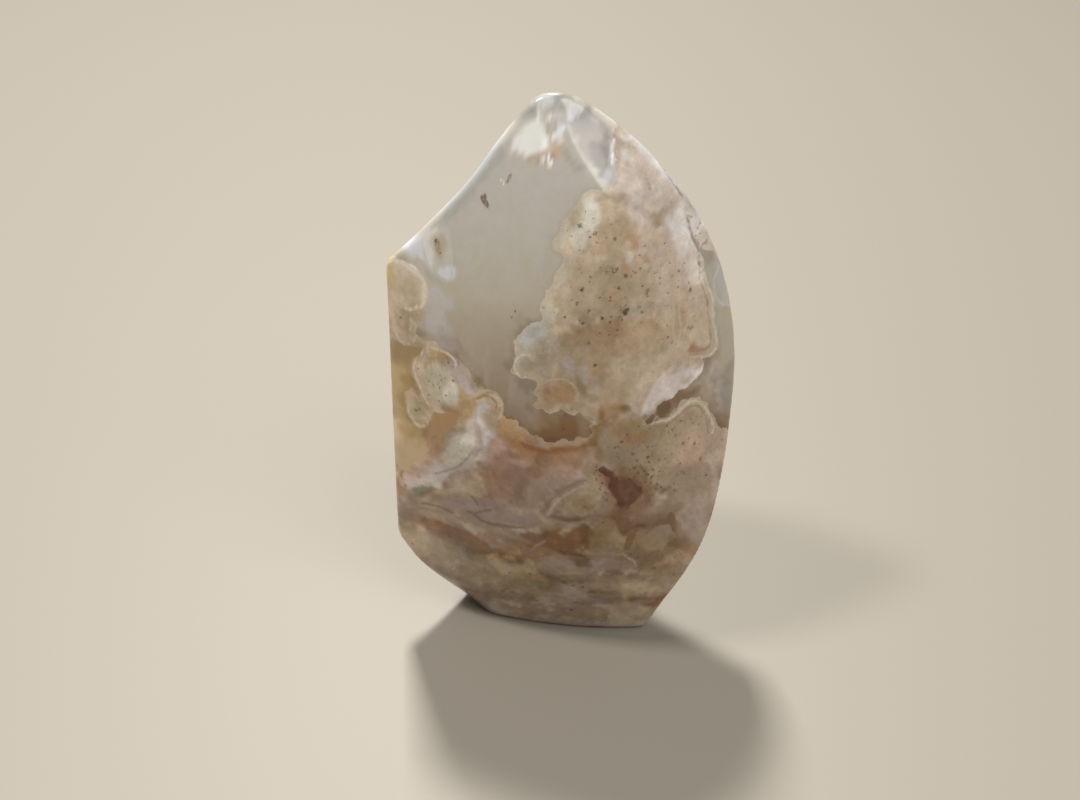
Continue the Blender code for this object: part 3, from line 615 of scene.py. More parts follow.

# Where the front is a little darker or paler: partly the stone's own tone, partly painted shade and painted
# light on the tip, the edges and the foot. Each has the tone as seen, softness in pixels, and outline.
TONES_AND_PAINTED_LIGHT = [
    ((0.91, 0.84, 0.73), 5, [
        (484, 408), (498, 408), (512, 424), (530, 436), (545, 446), (565, 448), (585, 444), (592, 422),
        (602, 408), (605, 424), (594, 444), (584, 458), (560, 466), (536, 480), (522, 462), (506, 446),
        (490, 430)]),
    ((0.84, 0.81, 0.78), 6, [
        (606, 138), (615, 140), (624, 160), (636, 176), (630, 190), (618, 200), (600, 198), (604, 180),
        (606, 160)]),
    ((0.85, 0.78, 0.7), 3, [(646, 420), (652, 408), (664, 402), (672, 408), (660, 419)]),
    ((0.87, 0.82, 0.75), 8, [
        (590, 522), (616, 512), (640, 496), (670, 494), (680, 508), (676, 530), (692, 548), (676, 560),
        (640, 572), (600, 568), (584, 552)]),
    ((0.92, 0.86, 0.8), 6, [
        (586, 455), (604, 455), (604, 500), (560, 512), (540, 508), (560, 494), (588, 486)]),
    ((0.88, 0.85, 0.83), 5, [(706, 420), (722, 420), (727, 450), (708, 452)]),
    ((1.1, 1.12, 1.16), 4, [(402, 246), (422, 232), (436, 230), (436, 262), (424, 274), (408, 266)]),
    ((0.9, 0.87, 0.8), 5, [(404, 378), (418, 378), (428, 400), (430, 424), (418, 438), (404, 430)]),
    ((1.16, 1.17, 1.2), 4, [(466, 424), (480, 420), (486, 436), (478, 448), (466, 442)]),
    ((1.16, 1.18, 1.18), 5, [
        (390, 480), (410, 470), (428, 472), (440, 482), (440, 494), (424, 498), (396, 496)]),
    ((0.9, 0.87, 0.82), 4, [(464, 374), (478, 378), (488, 392), (474, 394)]),
    ((0.88, 0.87, 0.86), 9, [
        (508, 340), (530, 322), (560, 330), (590, 314), (610, 322), (608, 372), (602, 402), (570, 408),
        (540, 400), (518, 380)]),
    ((1.1, 1.13, 1.18), 5, [(628, 300), (643, 298), (647, 316), (632, 320)]),
    ((1.07, 1.09, 1.12), 5, [(660, 216), (680, 206), (696, 218), (704, 232), (694, 238), (676, 230)]),
    ((1.05, 1.1, 1.14), 4, [(614, 136), (632, 140), (640, 152), (634, 160), (618, 154)]),
    ((1.08, 1.1, 1.11), 4, [(646, 182), (664, 182), (664, 198), (648, 200)]),
    ((0.88, 0.86, 0.8), 5, [(612, 468), (640, 470), (660, 482), (666, 496), (650, 500), (630, 484)]),
    ((0.9, 0.82, 0.7), 3, [(604, 470), (620, 476), (640, 486), (636, 496), (616, 500)]),
    ((0.9, 0.87, 0.87), 4, [(690, 346), (710, 346), (708, 362), (692, 364)]),
    ((0.99, 0.95, 0.88), 5, [(520, 424), (590, 420), (586, 444), (545, 446)]),
    ((0.9, 0.88, 0.86), 4, [(394, 508), (412, 512), (412, 528), (396, 524)]),
    ((0.9, 0.87, 0.87), 3, [(438, 353), (455, 355), (460, 365), (442, 366)]),
    ((1.1, 1.12, 1.16), 4, [(690, 384), (704, 374), (714, 390), (714, 408), (704, 402)]),
    ((0.92, 0.93, 0.94), 4, [(446, 206), (500, 142), (510, 152), (456, 214)]),
    ((0.92, 0.89, 0.84), 5, [(612, 418), (660, 420), (660, 438), (620, 440)]),
    ((0.89, 0.87, 0.81), 5, [(508, 574), (546, 572), (548, 592), (530, 602), (508, 602)]),
    ((0.97, 0.95, 0.88), 5, [(548, 526), (590, 526), (594, 556), (560, 556)]),
    ((1.13, 1.17, 1.2), 4, [(564, 498), (598, 496), (598, 512), (566, 514)]),
    ((0.9, 0.9, 0.89), 4, [(390, 334), (424, 334), (424, 362), (392, 360)]),
    ((1.06, 1.07, 1.1), 4, [(540, 108), (572, 108), (570, 122), (544, 122)]),
    ((0.94, 0.88, 0.8), 4, [(600, 406), (620, 408), (620, 422), (604, 424)]),
    ((1.05, 1.08, 1.12), 4, [(692, 226), (708, 230), (710, 244), (698, 246)]),
    ((1.13, 1.17, 1.2), 4, [(616, 526), (634, 526), (634, 544), (618, 544)]),
    ((1.09, 1.11, 1.13), 5, [(386, 370), (408, 370), (408, 430), (388, 430)]),
    ((0.86, 0.86, 0.83), 3, [(556, 92), (590, 98), (596, 108), (560, 106)]),
    ((0.86, 0.83, 0.8), 5, [(722, 364), (744, 364), (744, 414), (724, 414)]),
    ((1.18, 1.2, 1.2), 5, [(626, 588), (668, 584), (664, 602), (630, 604)]),
    ((1.18, 1.19, 1.18), 6, [(498, 556), (540, 560), (538, 576), (500, 577)]),
    ((1.17, 1.17, 1.17), 4, [(414, 512), (446, 516), (446, 528), (418, 527)]),
    ((0.88, 0.88, 0.87), 5, [(430, 542), (470, 548), (468, 560), (438, 560)]),
    ((1.18, 1.17, 1.15), 4, [(538, 106), (556, 104), (562, 118), (548, 124), (540, 118)]),
    ((1.13, 1.13, 1.12), 4, [(544, 138), (560, 136), (576, 140), (570, 154), (548, 152)]),
    ((0.92, 0.92, 0.9), 4, [(572, 226), (586, 226), (590, 244), (576, 250)]),
]

# Where the opaque parts have a paler rim beside clear stone, and how strong it is.
RIM_PATCHES = [
    (0.9, 8, [
        (505, 335), (535, 300), (540, 220), (580, 185), (600, 195), (575, 260), (560, 340), (545, 385),
        (500, 385)]),
    (0.2, 6, [
        (520, 395), (590, 400), (605, 425), (590, 450), (500, 450), (480, 395), (460, 360), (500, 385)]),
    (0.9, 5, [(695, 250), (715, 300), (722, 340), (715, 362), (690, 365), (700, 340), (700, 290)]),
    (0.7, 5, [(642, 412), (665, 395), (700, 385), (725, 405), (725, 430), (700, 420), (660, 430)]),
]

# Veins and rims of rings: colour, half their width in pixels, and the points that they pass.
LINES = [
    ("cream", 1.8, [
        (383, 262), (398, 261), (408, 266), (416, 273), (423, 281), (424, 292), (423, 303), (416, 307),
        (408, 309), (403, 306)]),
    ("pink sand", 1.1, [(392, 318), (393, 325), (396, 332), (401, 341), (408, 345), (415, 341), (418, 335)]),
    ("pink sand", 0.9, [(409, 316), (411, 323), (410, 331)]),
    ("cream", 1.0, [(427, 346), (438, 350), (446, 353), (452, 358), (456, 363), (455, 368)]),
    ("cream", 0.9, [
        (427, 346), (422, 352), (418, 357), (414, 365), (415, 374), (418, 382), (422, 391), (427, 401),
        (431, 408)]),
    ("cream", 0.9, [
        (411, 388), (409, 396), (408, 404), (409, 412), (413, 420), (419, 426), (425, 426), (429, 420)]),
    ("pale tan", 1.0, [(412, 389), (416, 396), (421, 401)]),
    ("line brown", 1.2, [(440, 408), (448, 410), (459, 413)]),
    ("warm cream", 1.4, [
        (470, 399), (480, 392), (490, 391), (498, 397), (502, 405), (501, 414), (497, 421)]),
    ("line brown", 1.2, [(476, 399), (483, 396), (490, 397), (496, 403), (496, 411)]),
    ("violet", 1.0, [(434, 474), (446, 471), (457, 467), (466, 460), (472, 452)]),
    ("blue and edge sheen", 0.8, [
        (421, 240), (425, 256), (431, 270), (440, 279), (449, 281), (452, 272), (452, 255), (448, 240),
        (443, 230)]),
    ("pale tan", 1.0, [(549, 514), (554, 505), (564, 496), (578, 488), (592, 483)]),
    ("mauve", 1.1, [(542, 513), (548, 503), (558, 494), (572, 485), (588, 479)]),
    ("blue white", 1.2, [(614, 138), (612, 148), (613, 158), (613, 166)]),
    ("border tan", 1.3, [(615, 137), (617, 146), (620, 156), (621, 163), (618, 173), (614, 184)]),
    ("border tan", 1.1, [(641, 165), (645, 174), (648, 182), (651, 193)]),
    ("grey dark", 0.5, [(658, 162), (668, 174), (676, 186), (684, 199)]),
    ("mauve lilac", 1.0, [(687, 215), (689, 224), (692, 236), (697, 247), (700, 256), (705, 268)]),
    ("border tan", 0.9, [(691, 230), (695, 240), (700, 245), (705, 243), (708, 238)]),
    ("cream", 1.0, [
        (699, 249), (703, 262), (704, 272), (707, 285), (712, 300), (713, 315), (716, 330), (717, 345),
        (713, 352), (705, 356), (690, 357)]),
    ("line brown", 0.7, [
        (695, 252), (699, 265), (700, 276), (703, 288), (707, 302), (708, 316), (711, 331), (711, 343),
        (706, 349), (696, 352)]),
    ("cream", 0.9, [(719, 264), (716, 273), (713, 282), (714, 292), (717, 300), (723, 304), (732, 304)]),
    ("warm cream", 1.1, [(674, 290), (673, 302), (674, 316), (673, 330), (675, 342)]),
    ("warm cream", 1.1, [(680, 300), (679, 312), (681, 326), (679, 338)]),
    ("cream", 1.0, [
        (651, 424), (660, 421), (668, 420), (677, 414), (683, 408), (690, 402), (697, 401), (704, 406),
        (709, 414), (713, 424), (712, 436)]),
    ("line brown", 0.9, [
        (654, 427), (664, 425), (672, 422), (680, 415), (688, 408), (697, 405), (703, 411), (708, 424),
        (707, 438)]),
    ("warm cream", 1.2, [(568, 246), (575, 253), (584, 256), (592, 254)]),
    ("cream", 0.6, [(531, 356), (524, 355), (518, 358), (514, 365), (516, 372), (521, 378), (527, 378)]),
    ("pale tan", 0.6, [(541, 385), (549, 380), (558, 379), (567, 381), (574, 387), (578, 395), (576, 402)]),
    ("pale tan", 0.9, [(583, 416), (590, 420), (597, 424)]),
    ("streak brown", 0.7, [(396, 463), (400, 474), (406, 486), (411, 494)]),
    ("line brown", 1.2, [(397, 505), (400, 511), (405, 516), (417, 521)]),
    ("streak brown", 1.1, [(420, 503), (430, 505), (442, 508), (456, 514)]),
    ("dull brown", 1.4, [(465, 511), (474, 514), (482, 521), (495, 525), (510, 527), (526, 528)]),
    ("dull brown", 1.1, [(474, 514), (482, 511), (492, 510)]),
    ("dull brown", 1.0, [(470, 495), (475, 499), (478, 506)]),
    ("streak brown", 1.3, [(519, 534), (530, 538), (540, 540), (552, 538)]),
    ("low lilac", 0.8, [(531, 551), (538, 545), (546, 541)]),
    ("pale tan", 0.7, [(622, 552), (627, 557), (634, 561), (636, 567)]),
    ("dark brown", 1.8, [(480, 194), (483, 199), (487, 204), (490, 209)]),
    ("dark brown", 1.6, [(484, 192), (485, 198), (485, 204)]),
    ("brown", 1.5, [(507, 184), (509, 178), (511, 173)]),
    ("white", 1.6, [(500, 178), (503, 181), (505, 184)]),
]

# Single specks: radius in pixels, and place.
SPECKS = [
    (2.5, 582, 290), (2.0, 613, 273), (2.2, 619, 288), (2.2, 602, 318), (3.2, 625, 313), (2.2, 628, 309),
    (1.6, 620, 317), (1.8, 608, 204), (1.5, 609, 220), (1.6, 586, 212), (1.8, 590, 237), (1.7, 597, 242),
    (1.5, 603, 235), (1.5, 612, 268), (1.5, 571, 288), (2.2, 577, 304), (1.7, 600, 298), (1.7, 625, 298),
    (1.6, 617, 330), (1.7, 583, 323), (1.7, 565, 317), (1.7, 588, 312), (2.0, 648, 290), (1.6, 647, 294),
    (1.5, 660, 283), (1.5, 657, 272), (1.5, 679, 271), (1.5, 678, 287), (1.5, 672, 276), (1.6, 668, 293),
    (1.5, 694, 316), (1.7, 692, 327), (1.5, 688, 328), (1.5, 672, 343), (2.3, 595, 365), (1.7, 610, 322),
    (1.6, 642, 312), (1.8, 436, 241), (1.6, 436, 244), (1.3, 438, 236), (1.5, 434, 250), (1.5, 440, 253),
    (1.5, 440, 244), (1.6, 515, 311), (1.5, 512, 317), (1.5, 438, 383), (1.6, 440, 388), (1.5, 433, 386),
    (1.5, 446, 396), (1.5, 430, 381), (1.5, 428, 395), (1.7, 420, 409), (1.6, 416, 410), (1.9, 401, 318),
    (1.5, 400, 276), (1.5, 405, 279), (1.5, 688, 215), (1.5, 691, 217), (1.6, 698, 228), (1.5, 700, 223),
    (1.9, 633, 454), (1.9, 648, 457), (1.7, 649, 462), (1.6, 659, 460), (1.7, 637, 461), (1.6, 630, 470),
    (2.0, 644, 471), (1.6, 646, 475), (1.5, 651, 478), (1.6, 657, 484), (1.7, 661, 487), (1.5, 597, 470),
    (1.6, 600, 475), (1.4, 596, 480), (1.7, 602, 483), (1.5, 605, 493), (1.6, 607, 500), (1.5, 594, 474),
    (1.6, 641, 468), (1.7, 648, 474), (1.5, 653, 470), (1.8, 651, 483), (1.5, 645, 482), (1.5, 638, 473),
    (1.6, 600, 489), (1.5, 603, 497), (1.5, 684, 473), (1.8, 706, 475), (1.5, 667, 426), (1.6, 672, 430),
    (1.5, 691, 419), (1.5, 693, 423), (1.5, 681, 421), (1.5, 699, 424), (1.5, 722, 440), (1.5, 717, 457),
    (1.6, 530, 574), (1.5, 563, 429), (1.5, 572, 409)]

# Where fine specks are strewn: how densely, softness in pixels, and outline.
GRAIN_PATCHES = [
    (0.55, 10, [
        (560, 205), (600, 195), (630, 230), (665, 275), (660, 310), (620, 335), (560, 330), (545, 300),
        (570, 260)]),
    (0.3, 12, [(640, 235), (690, 240), (700, 345), (660, 350), (640, 300)]),
    (0.6, 4, [(420, 358), (450, 366), (458, 390), (446, 404), (428, 394), (416, 374)]),
    (0.5, 4, [(685, 212), (706, 222), (710, 246), (698, 244)]),
    (0.7, 6, [
        (600, 430), (660, 426), (700, 410), (710, 440), (700, 480), (660, 500), (640, 480), (600, 470)]),
    (0.95, 3, [(630, 452), (648, 450), (664, 458), (668, 480), (656, 492), (644, 482), (634, 470)]),
    (0.6, 3, [(446, 432), (464, 428), (468, 440), (456, 452), (444, 448)]),
    (0.45, 4, [(556, 492), (612, 492), (612, 516), (556, 516)]),
    (0.9, 2, [(590, 464), (602, 468), (607, 486), (611, 500), (602, 504), (596, 488)]),
    (0.15, 20, [(420, 520), (690, 520), (680, 610), (470, 600)]),
]

# The back's own markings, with outlines as x and z in millimetres. They are drawn at PX_PER_MM pixels to the
# millimetre, and their softness, widths and radii are in those pixels.
PX_PER_MM = 6.4
BACK_WINDOWS = [
    [
        (-7, 78), (-12, 72), (-19, 64), (-22, 56), (-20, 47), (-14, 43), (-9, 46), (-5, 42), (0, 45),
        (3, 52), (1, 60), (4, 66), (2, 74), (-2, 80)],
    [
        (8, 47), (13, 51), (19, 48), (22, 40), (21, 30), (17, 24), (12, 26), (8, 22), (5, 27), (7, 34),
        (5, 40)],
    [(-18, 30), (-13, 32), (-9, 28), (-10, 22), (-15, 20), (-19, 23)],
    [(2, 14), (7, 16), (11, 13), (8, 10), (3, 10)],
]
BACK_CLEAR_PATCHES = [
    ("lavender", 0.6, 14, [(-20, 62), (-12, 70), (-8, 62), (-14, 50), (-20, 52)]),
    ("pale cream", 0.5, 8, [(-6, 74), (-2, 78), (1, 74), (-1, 70), (-5, 70)]),
    ("grey high", 0.6, 12, [(-4, 70), (1, 62), (-2, 52), (-8, 54), (-8, 64)]),
    ("lilac", 0.6, 12, [(10, 44), (18, 44), (19, 34), (12, 32)]),
    ("gap brown", 0.7, 10, [(8, 30), (14, 30), (16, 25), (9, 22)]),
    ("gap brown", 0.8, 8, [(-18, 26), (-12, 27), (-10, 22), (-16, 20)]),
    ("red", 0.8, 6, [(2, 14), (8, 15), (10, 11), (3, 10)]),
]
BACK_BLOSSOM_PATCHES = [
    ("pink", 0.8, 30, [(4, 76), (10, 72), (20, 60), (22, 50), (12, 50), (5, 56), (4, 64)]),
    ("pale pink", 0.7, 14, [(8, 68), (14, 64), (18, 56), (12, 55), (7, 61)]),
    ("sand", 0.9, 20, [(-22, 44), (-14, 42), (-4, 41), (4, 42), (6, 34), (-2, 28), (-12, 33), (-22, 36)]),
    ("olive tan", 0.7, 16, [(-8, 40), (3, 40), (4, 33), (-4, 30), (-10, 34)]),
    ("milk", 0.8, 6, [(-18, 41), (-13, 41), (-10, 37), (-15, 35), (-19, 37)]),
    ("white lobe", 0.8, 8, [(4, 52), (8, 50), (9, 45), (5, 43), (2, 47)]),
    ("orange tan", 0.6, 12, [(-4, 30), (6, 30), (8, 25), (0, 23), (-7, 26)]),
    ("ochre", 0.7, 14, [(-24, 60), (-22, 50), (-22, 36), (-23, 20), (-26, 20), (-26, 60)]),
    ("ragged white", 0.9, 5, [(-8, 25), (-3, 27), (1, 23), (-1, 19), (-6, 17), (-9, 20)]),
    ("mauve", 0.7, 16, [(-20, 18), (-8, 18), (4, 20), (6, 12), (-8, 9), (-18, 11)]),
    ("streak red", 0.8, 7, [(-16, 14), (-6, 13), (6, 17), (16, 18), (16, 16), (4, 14), (-6, 10), (-15, 11)]),
    ("marble", 0.7, 8, [(8, 22), (16, 22), (19, 16), (12, 14), (7, 17)]),
    ("low cream", 0.8, 10, [(-14, 9), (-4, 10), (8, 9), (10, 5), (-4, 4), (-12, 5)]),
    ("low brown", 0.7, 8, [(-10, 5), (2, 4), (10, 4), (8, 1), (-8, 1)]),
]
BACK_RIM_PATCHES = [
    (0.8, 20, [(-22, 60), (-18, 40), (0, 38), (6, 54), (5, 76), (-2, 80)]),
    (0.8, 20, [(4, 48), (22, 50), (23, 24), (6, 20)]),
]
BACK_LINES = [
    ("cream", 1.6, [(7, 49), (12, 53), (20, 50), (24, 40)]),
    ("line brown", 1.4, [(4, 41), (4, 34), (2, 28), (6, 20), (12, 22)]),
    ("cream", 1.6, [(-20, 31), (-13, 34), (-7, 29), (-8, 21), (-15, 18), (-21, 22)]),
    ("orange tan", 1.6, [(-14, 41), (-9, 44), (-5, 40), (1, 43), (6, 50)]),
    ("dull brown", 1.4, [(-18, 12), (-8, 10), (0, 13), (10, 14), (17, 19)]),
    ("streak brown", 1.8, [(-16, 8), (-5, 7), (6, 9), (14, 8)]),
]
BACK_SPECKS = [
    (4.5, -3, 36), (3.0, -6, 37), (2.8, 0, 38), (2.6, 2, 34), (2.5, -9, 38), (2.6, 12, 60), (2.4, 15, 57),
    (3.0, -16, 38), (2.4, 9, 18), (2.6, 13, 19), (2.4, -12, 14), (3.0, -10, 60), (2.4, 5, 26)]
BACK_GRAIN_PATCHES = [
    (0.6, 16, [(-12, 42), (4, 42), (6, 32), (-4, 28), (-14, 33)]),
    (0.4, 20, [(6, 68), (18, 62), (20, 52), (8, 54)]),
    (0.6, 14, [(4, 24), (18, 23), (18, 12), (6, 12)]),
]

# The material's noises: size in millimetres, detail, roughness and distortion.
FINE_NOISE = (1.3, 5.0, 0.65, 0.6)
GRIT_NOISE = (0.35, 3.0, 0.6, 0.0)
TINY_NOISE = (0.14, 2.0, 0.5, 0.0)
RAGGED_NOISE = (0.8, 4.0, 0.65, 0.0)
PLUME_NOISE = (3.2, 6.0, 0.7, 1.2)
FLAKE_NOISE = (0.85, 4.0, 0.65, 0.8)
PIT_NOISE = (1.15, 4.0, 0.7, 0.0)

# The grain of the opaque parts: how strong each noise is, between which values it sets in, and two tints.
FINE_STRENGTH = 0.28
GRIT_STRENGTH = 0.22
PLUME_STRENGTH = 0.38
PLUME_STEP = (0.36, 0.64)
PLUME_WARM = (1.015, 0.995, 0.965, 1.0)
PLUME_COOL = (0.99, 1.0, 1.015, 1.0)
FLAKE_STRENGTH = 0.07
FLAKE_STEP = (0.53, 0.60)
PIT_STRENGTH = 0.09
PIT_STEP = (0.56, 0.66)

# The ragged edge of the clear zones, the rim and the thin skin outside it, and the dark shore and the haze
# inside it. Depths are in pixels of the photograph, and the lobes' size in millimetres.
RAGGED_DEPTH = 7.0
LOBE_SIZE = 1.9
LOBE_DEPTH = 7.0
EDGE_STEP = (-0.8, 0.8)
RIM_STEP = (-9.0, 0.0)
RIM_GAPS = (0.36, 0.56)
RIM_STRENGTH = 0.5
RIM_COLOUR = (0.53, 0.47, 0.36, 1.0)
SKIN_STEP = (-2.2, -0.5)
SKIN_STRENGTH = 0.5
SKIN_COLOUR = (0.66, 0.61, 0.52, 1.0)
SHORE_STEP = (6.0, 0.5)
SHORE_STRENGTH = 0.18
SHORE_COLOUR = (0.30, 0.22, 0.15, 1.0)
HAZE_LEAST = 0.92
HAZE_STRENGTH = 0.16

# Veins and specks, with depths in pixels of the photograph. Fine specks are strewn one to a cell: the
# sizes of the cells are in millimetres, and the specks' own lengths are shares of a cell.
LINE_RAGGED = 0.5
LINE_STEP = (-1.2, 0.9)
LINE_GAPS = (0.15, 0.5)
LINE_STRENGTH = 0.8
SPECK_RAGGED = 5.0
SPECK_STEP = (-0.5, 1.5)
SPECK_STRENGTH = 0.88
SPECK_COLOUR = (0.075, 0.05, 0.018, 1.0)
STREWN_SIZES = (0.7, 1.5)
STREWN_CHOICE = (0.0, 0.05)
STREWN_RADIUS = 0.08
STREWN_SPREAD = 0.16
STREWN_RAGGED = 0.45
STREWN_STEP = (-0.03, 0.06)
STREWN_STRENGTH = 0.6

# The polish, and the light that passes under the surface, deeper in the clear zones.
IOR = 1.54
GLOSS_LEAST = 0.12
GLOSS_GRIT = 0.10
GLOW_LEAST = 0.10
GLOW_CLEAR = 0.40
GLOW_TINT = (1.0, 0.93, 0.86)
GLOW_DEPTH = 0.0011
WAVE_STRENGTH = 0.06
WAVE_HEIGHT = 0.00004

# The studio. Places are in metres, with the stone's base at the origin. Each light has a name, place, size,
# power and colour.
FLOOR_SIZE = 6.0
FLOOR_COLOUR = (0.272, 0.247, 0.206, 1.0)
FLOOR_ROUGHNESS = 0.55
AMBIENT_COLOUR = (1.0, 0.98, 0.95, 1.0)
AMBIENT_STRENGTH = 0.20
LIGHT_TARGET = Vector((0.0, 0.0, 0.035))
LIGHTS = [
    ("key_light", (-0.10, 0.50, 0.85), 0.12, 12.0, (1.0, 0.98, 0.93)),
    ("left_light", (-0.40, 0.0, 0.72), 0.10, 3.4, (1.0, 0.96, 0.91)),
    ("top_light", (0.42, -0.40, 0.85), 0.60, 5.1, (1.0, 0.97, 0.93)),
]


def smooth_max(a, b, width):
    """The larger of two values, blended where they are closer than the width."""
    near = np.maximum(width - np.abs(a - b), 0) / width
    return np.maximum(a, b) + near * near * width / 4


def ease(first, last, value, start, end):
    """A smooth change from first to last while value goes from start to end."""
    t = np.clip((value - start) / (end - start), 0, 1)
    return first + (last - first) * t * t * (3 - 2 * t)


def curve_through(points):
    """A smooth curve through the points of one stretch, without its last point."""
    p = np.array(points)
    p = np.vstack([2 * p[0] - p[1], p, 2 * p[-1] - p[-2]])
    t = np.linspace(0, 1, POINTS_PER_SPAN, endpoint=False)[:, None]
    spans = []
    for a, b, c, d in zip(p, p[1:], p[2:], p[3:]):
        spans.append(b + 0.5 * t * (c - a + t * (2 * a - 5 * b + 4 * c - d + t * (3 * b - a - 3 * c + d))))
    return np.vstack(spans)


def distance_grid(*stretches):
    """Distance from a wall's stretches, drawn out past both ends, over the front view, negative inside."""
    x, z = np.meshgrid(GRID_X, GRID_Z)
    line = np.vstack([curve_through(stretch) for stretch in stretches] + [stretches[-1][-1:]])
    start = line[0] + DRAWN_OUT * (line[0] - line[1]) / np.linalg.norm(line[0] - line[1])
    end = line[-1] + DRAWN_OUT * (line[-1] - line[-2]) / np.linalg.norm(line[-1] - line[-2])
    line = np.vstack([start, line, end])
    grid = np.full(x.shape, np.inf)
    for (ax, az), (bx, bz) in zip(line, line[1:]):
        ex, ez = bx - ax, bz - az
        t = np.clip(((x - ax) * ex + (z - az) * ez) / (ex * ex + ez * ez), 0, 1)
        distance = np.hypot(x - ax - t * ex, z - az - t * ez)
        side = np.where(ex * (z - az) - ez * (x - ax) > 0, 1, -1)
        grid = np.where(distance < np.abs(grid), distance * side, grid)
    return grid


def read_grid(grid, x, z):
    """The grid's value at points between its own points."""
    column = np.clip((x - GRID_X[0]) / GRID_STEP, 0, len(GRID_X) - GRID_END)
    row = np.clip((z - GRID_Z[0]) / GRID_STEP, 0, len(GRID_Z) - GRID_END)
    i, j = column.astype(int), row.astype(int)
    u, v = column - i, row - j
    low = grid[j, i] * (1 - u) + grid[j, i + 1] * u
    high = grid[j + 1, i] * (1 - u) + grid[j + 1, i + 1] * u
    return low * (1 - v) + high * v


def front_y(x, z):
    """Where the front lies over each point of the front view."""
    foot = ease(1, 0, z, FOOT_START, FOOT_TOP)
    rise = (z - FRONT_LOW) ** 2 / (2 * FRONT_RADIUS_UP) - FOOT_FULLNESS * foot - FRONT_REACH
    main = rise - FRONT_SWING * x + x * x / (2 * FRONT_RADIUS_ACROSS)
    ridge = ease(RIDGE_X, RIDGE_TIP_X, z, *RIDGE_SWING_HEIGHTS)
    at_ridge = rise - FRONT_SWING * ridge + ridge * ridge / (2 * FRONT_RADIUS_ACROSS)
    slope = FOOT_SLOPE * foot + RIGHT_SLOPE * (1 - foot)
    bend = foot / (2 * FOOT_RADIUS) + (1 - foot) / (2 * RIGHT_RADIUS)
    turned = at_ridge + slope * (x - ridge) + bend * (x - ridge) ** 2
    return smooth_max(main, turned, ease(RIDGE_ROUND, RIDGE_TIP_ROUND, z, *RIDGE_FADE_HEIGHTS))


def back_y(x, z):
    """Where the back lies over each point of the front view."""
    low_ridge = ease(BACK_RIDGE_FOOT_X, BACK_RIDGE_X, z, *BACK_RIDGE_LOW_HEIGHTS)
    side = x - low_ridge - ease(0, BACK_RIDGE_TIP_X - BACK_RIDGE_X, z, *BACK_RIDGE_HIGH_HEIGHTS)
    reach = BACK_REACH - (z - BACK_LOW) ** 2 / (2 * BACK_RADIUS_UP) - side * side / (2 * BACK_RADIUS_ACROSS)
    return -smooth_max(-reach - BACK_LEFT_SLOPE * side, -reach + BACK_RIGHT_SLOPE * side, BACK_RIDGE_ROUND)


def wall(grid, lean, x, z, depth):
    """How far points lie outside a wall that leans in behind its part of the outline."""
    bulge = np.maximum(depth, 0) ** 2 / (2 * WALL_RADIUS)
    return (read_grid(grid, x, z) - EDGE_ROUND / 4 + lean * depth + bulge) / np.hypot(1, lean)


def outside(points, walls):
    """How far each point lies outside the stone, negative inside it."""
    x, y, z = points[:, 0], points[:, 1], points[:, 2]
    depth = y - front_y(x, z)
    stone = np.full(len(points), -np.inf)
    for grid, lean in walls:
        stone = smooth_max(stone, wall(grid, lean, x, z, depth), WALL_ROUND)
    worn = ease(1, 0, z, *WORN_HEIGHTS) * ease(1, 0, x, *WORN_WIDTHS)
    stone = smooth_max(stone, -depth, EDGE_ROUND + WORN_ROUND * worn)
    stone = smooth_max(stone, y - back_y(x, z), BACK_ROUND)
    return smooth_max(stone, -z, BASE_ROUND)


def cast_onto_stone(sphere_points):
    """Moves the points of a unit sphere out to the faces of the stone."""
    walls = [
        (distance_grid(LEFT_EDGE), LEFT_LEAN),
        (distance_grid(TOP_LEFT_EDGE), TOP_LEFT_LEAN),
        (distance_grid(TIP, RIGHT_EDGE, LOWER_RIGHT), RIGHT_LEAN),
        (distance_grid(LOWER_LEFT), LOWER_LEFT_LEAN),
    ]
    rays = sphere_points * CAST_SHAPE
    rays /= np.linalg.norm(rays, axis=1, keepdims=True)
    near = np.zeros((len(rays), 1))
    far = np.full((len(rays), 1), CAST_REACH)
    for _ in range(CAST_STEPS):
        middle = (near + far) / 2
        within = (outside(CAST_FROM + middle * rays, walls) < 0)[:, None]
        near = np.where(within, middle, near)
        far = np.where(within, far, middle)
    return CAST_FROM + near * rays


def colour(name):
    """A colour of the palette as linear red, green and blue."""
    parts = np.array([int(PALETTE[name][i:i + 2], 16) for i in (0, 2, 4)]) / 255
    return np.where(parts <= 0.04045, parts / 12.92, ((parts + 0.055) / 1.055) ** 2.4)


def scatter(cells, seed):
    """One repeatable number from -1 to 1 for each cell of space."""
    mixed = cells.astype(np.int64) @ np.array(HASH_AXES) + seed * HASH_MIX
    mixed = (mixed ^ (mixed >> HASH_SHIFT)) * HASH_MIX
    mixed ^= mixed >> HASH_FOLD
    return 2 * (mixed & HASH_TOP) / HASH_TOP - 1


def noise(places, seed):
    """Smooth noise from -1 to 1 over places that are measured in swellings."""
    cells = np.floor(places)
    part = places - cells
    part = part * part * (3 - 2 * part)
    total = np.zeros(len(places))
    for corner in product((0, 1), repeat=3):
        weight = np.prod(np.where(corner, part, 1 - part), axis=1)
        total += weight * scatter(cells + corner, seed)
    return total


def cloud(points, size, seed, octaves, fade):
    """Cloudy noise over the stone, with swellings from size millimetres down."""
    total = sum(noise(points / size * 2 ** k, seed + k) * fade ** k for k in range(octaves))
    return total / sum(fade ** k for k in range(octaves))


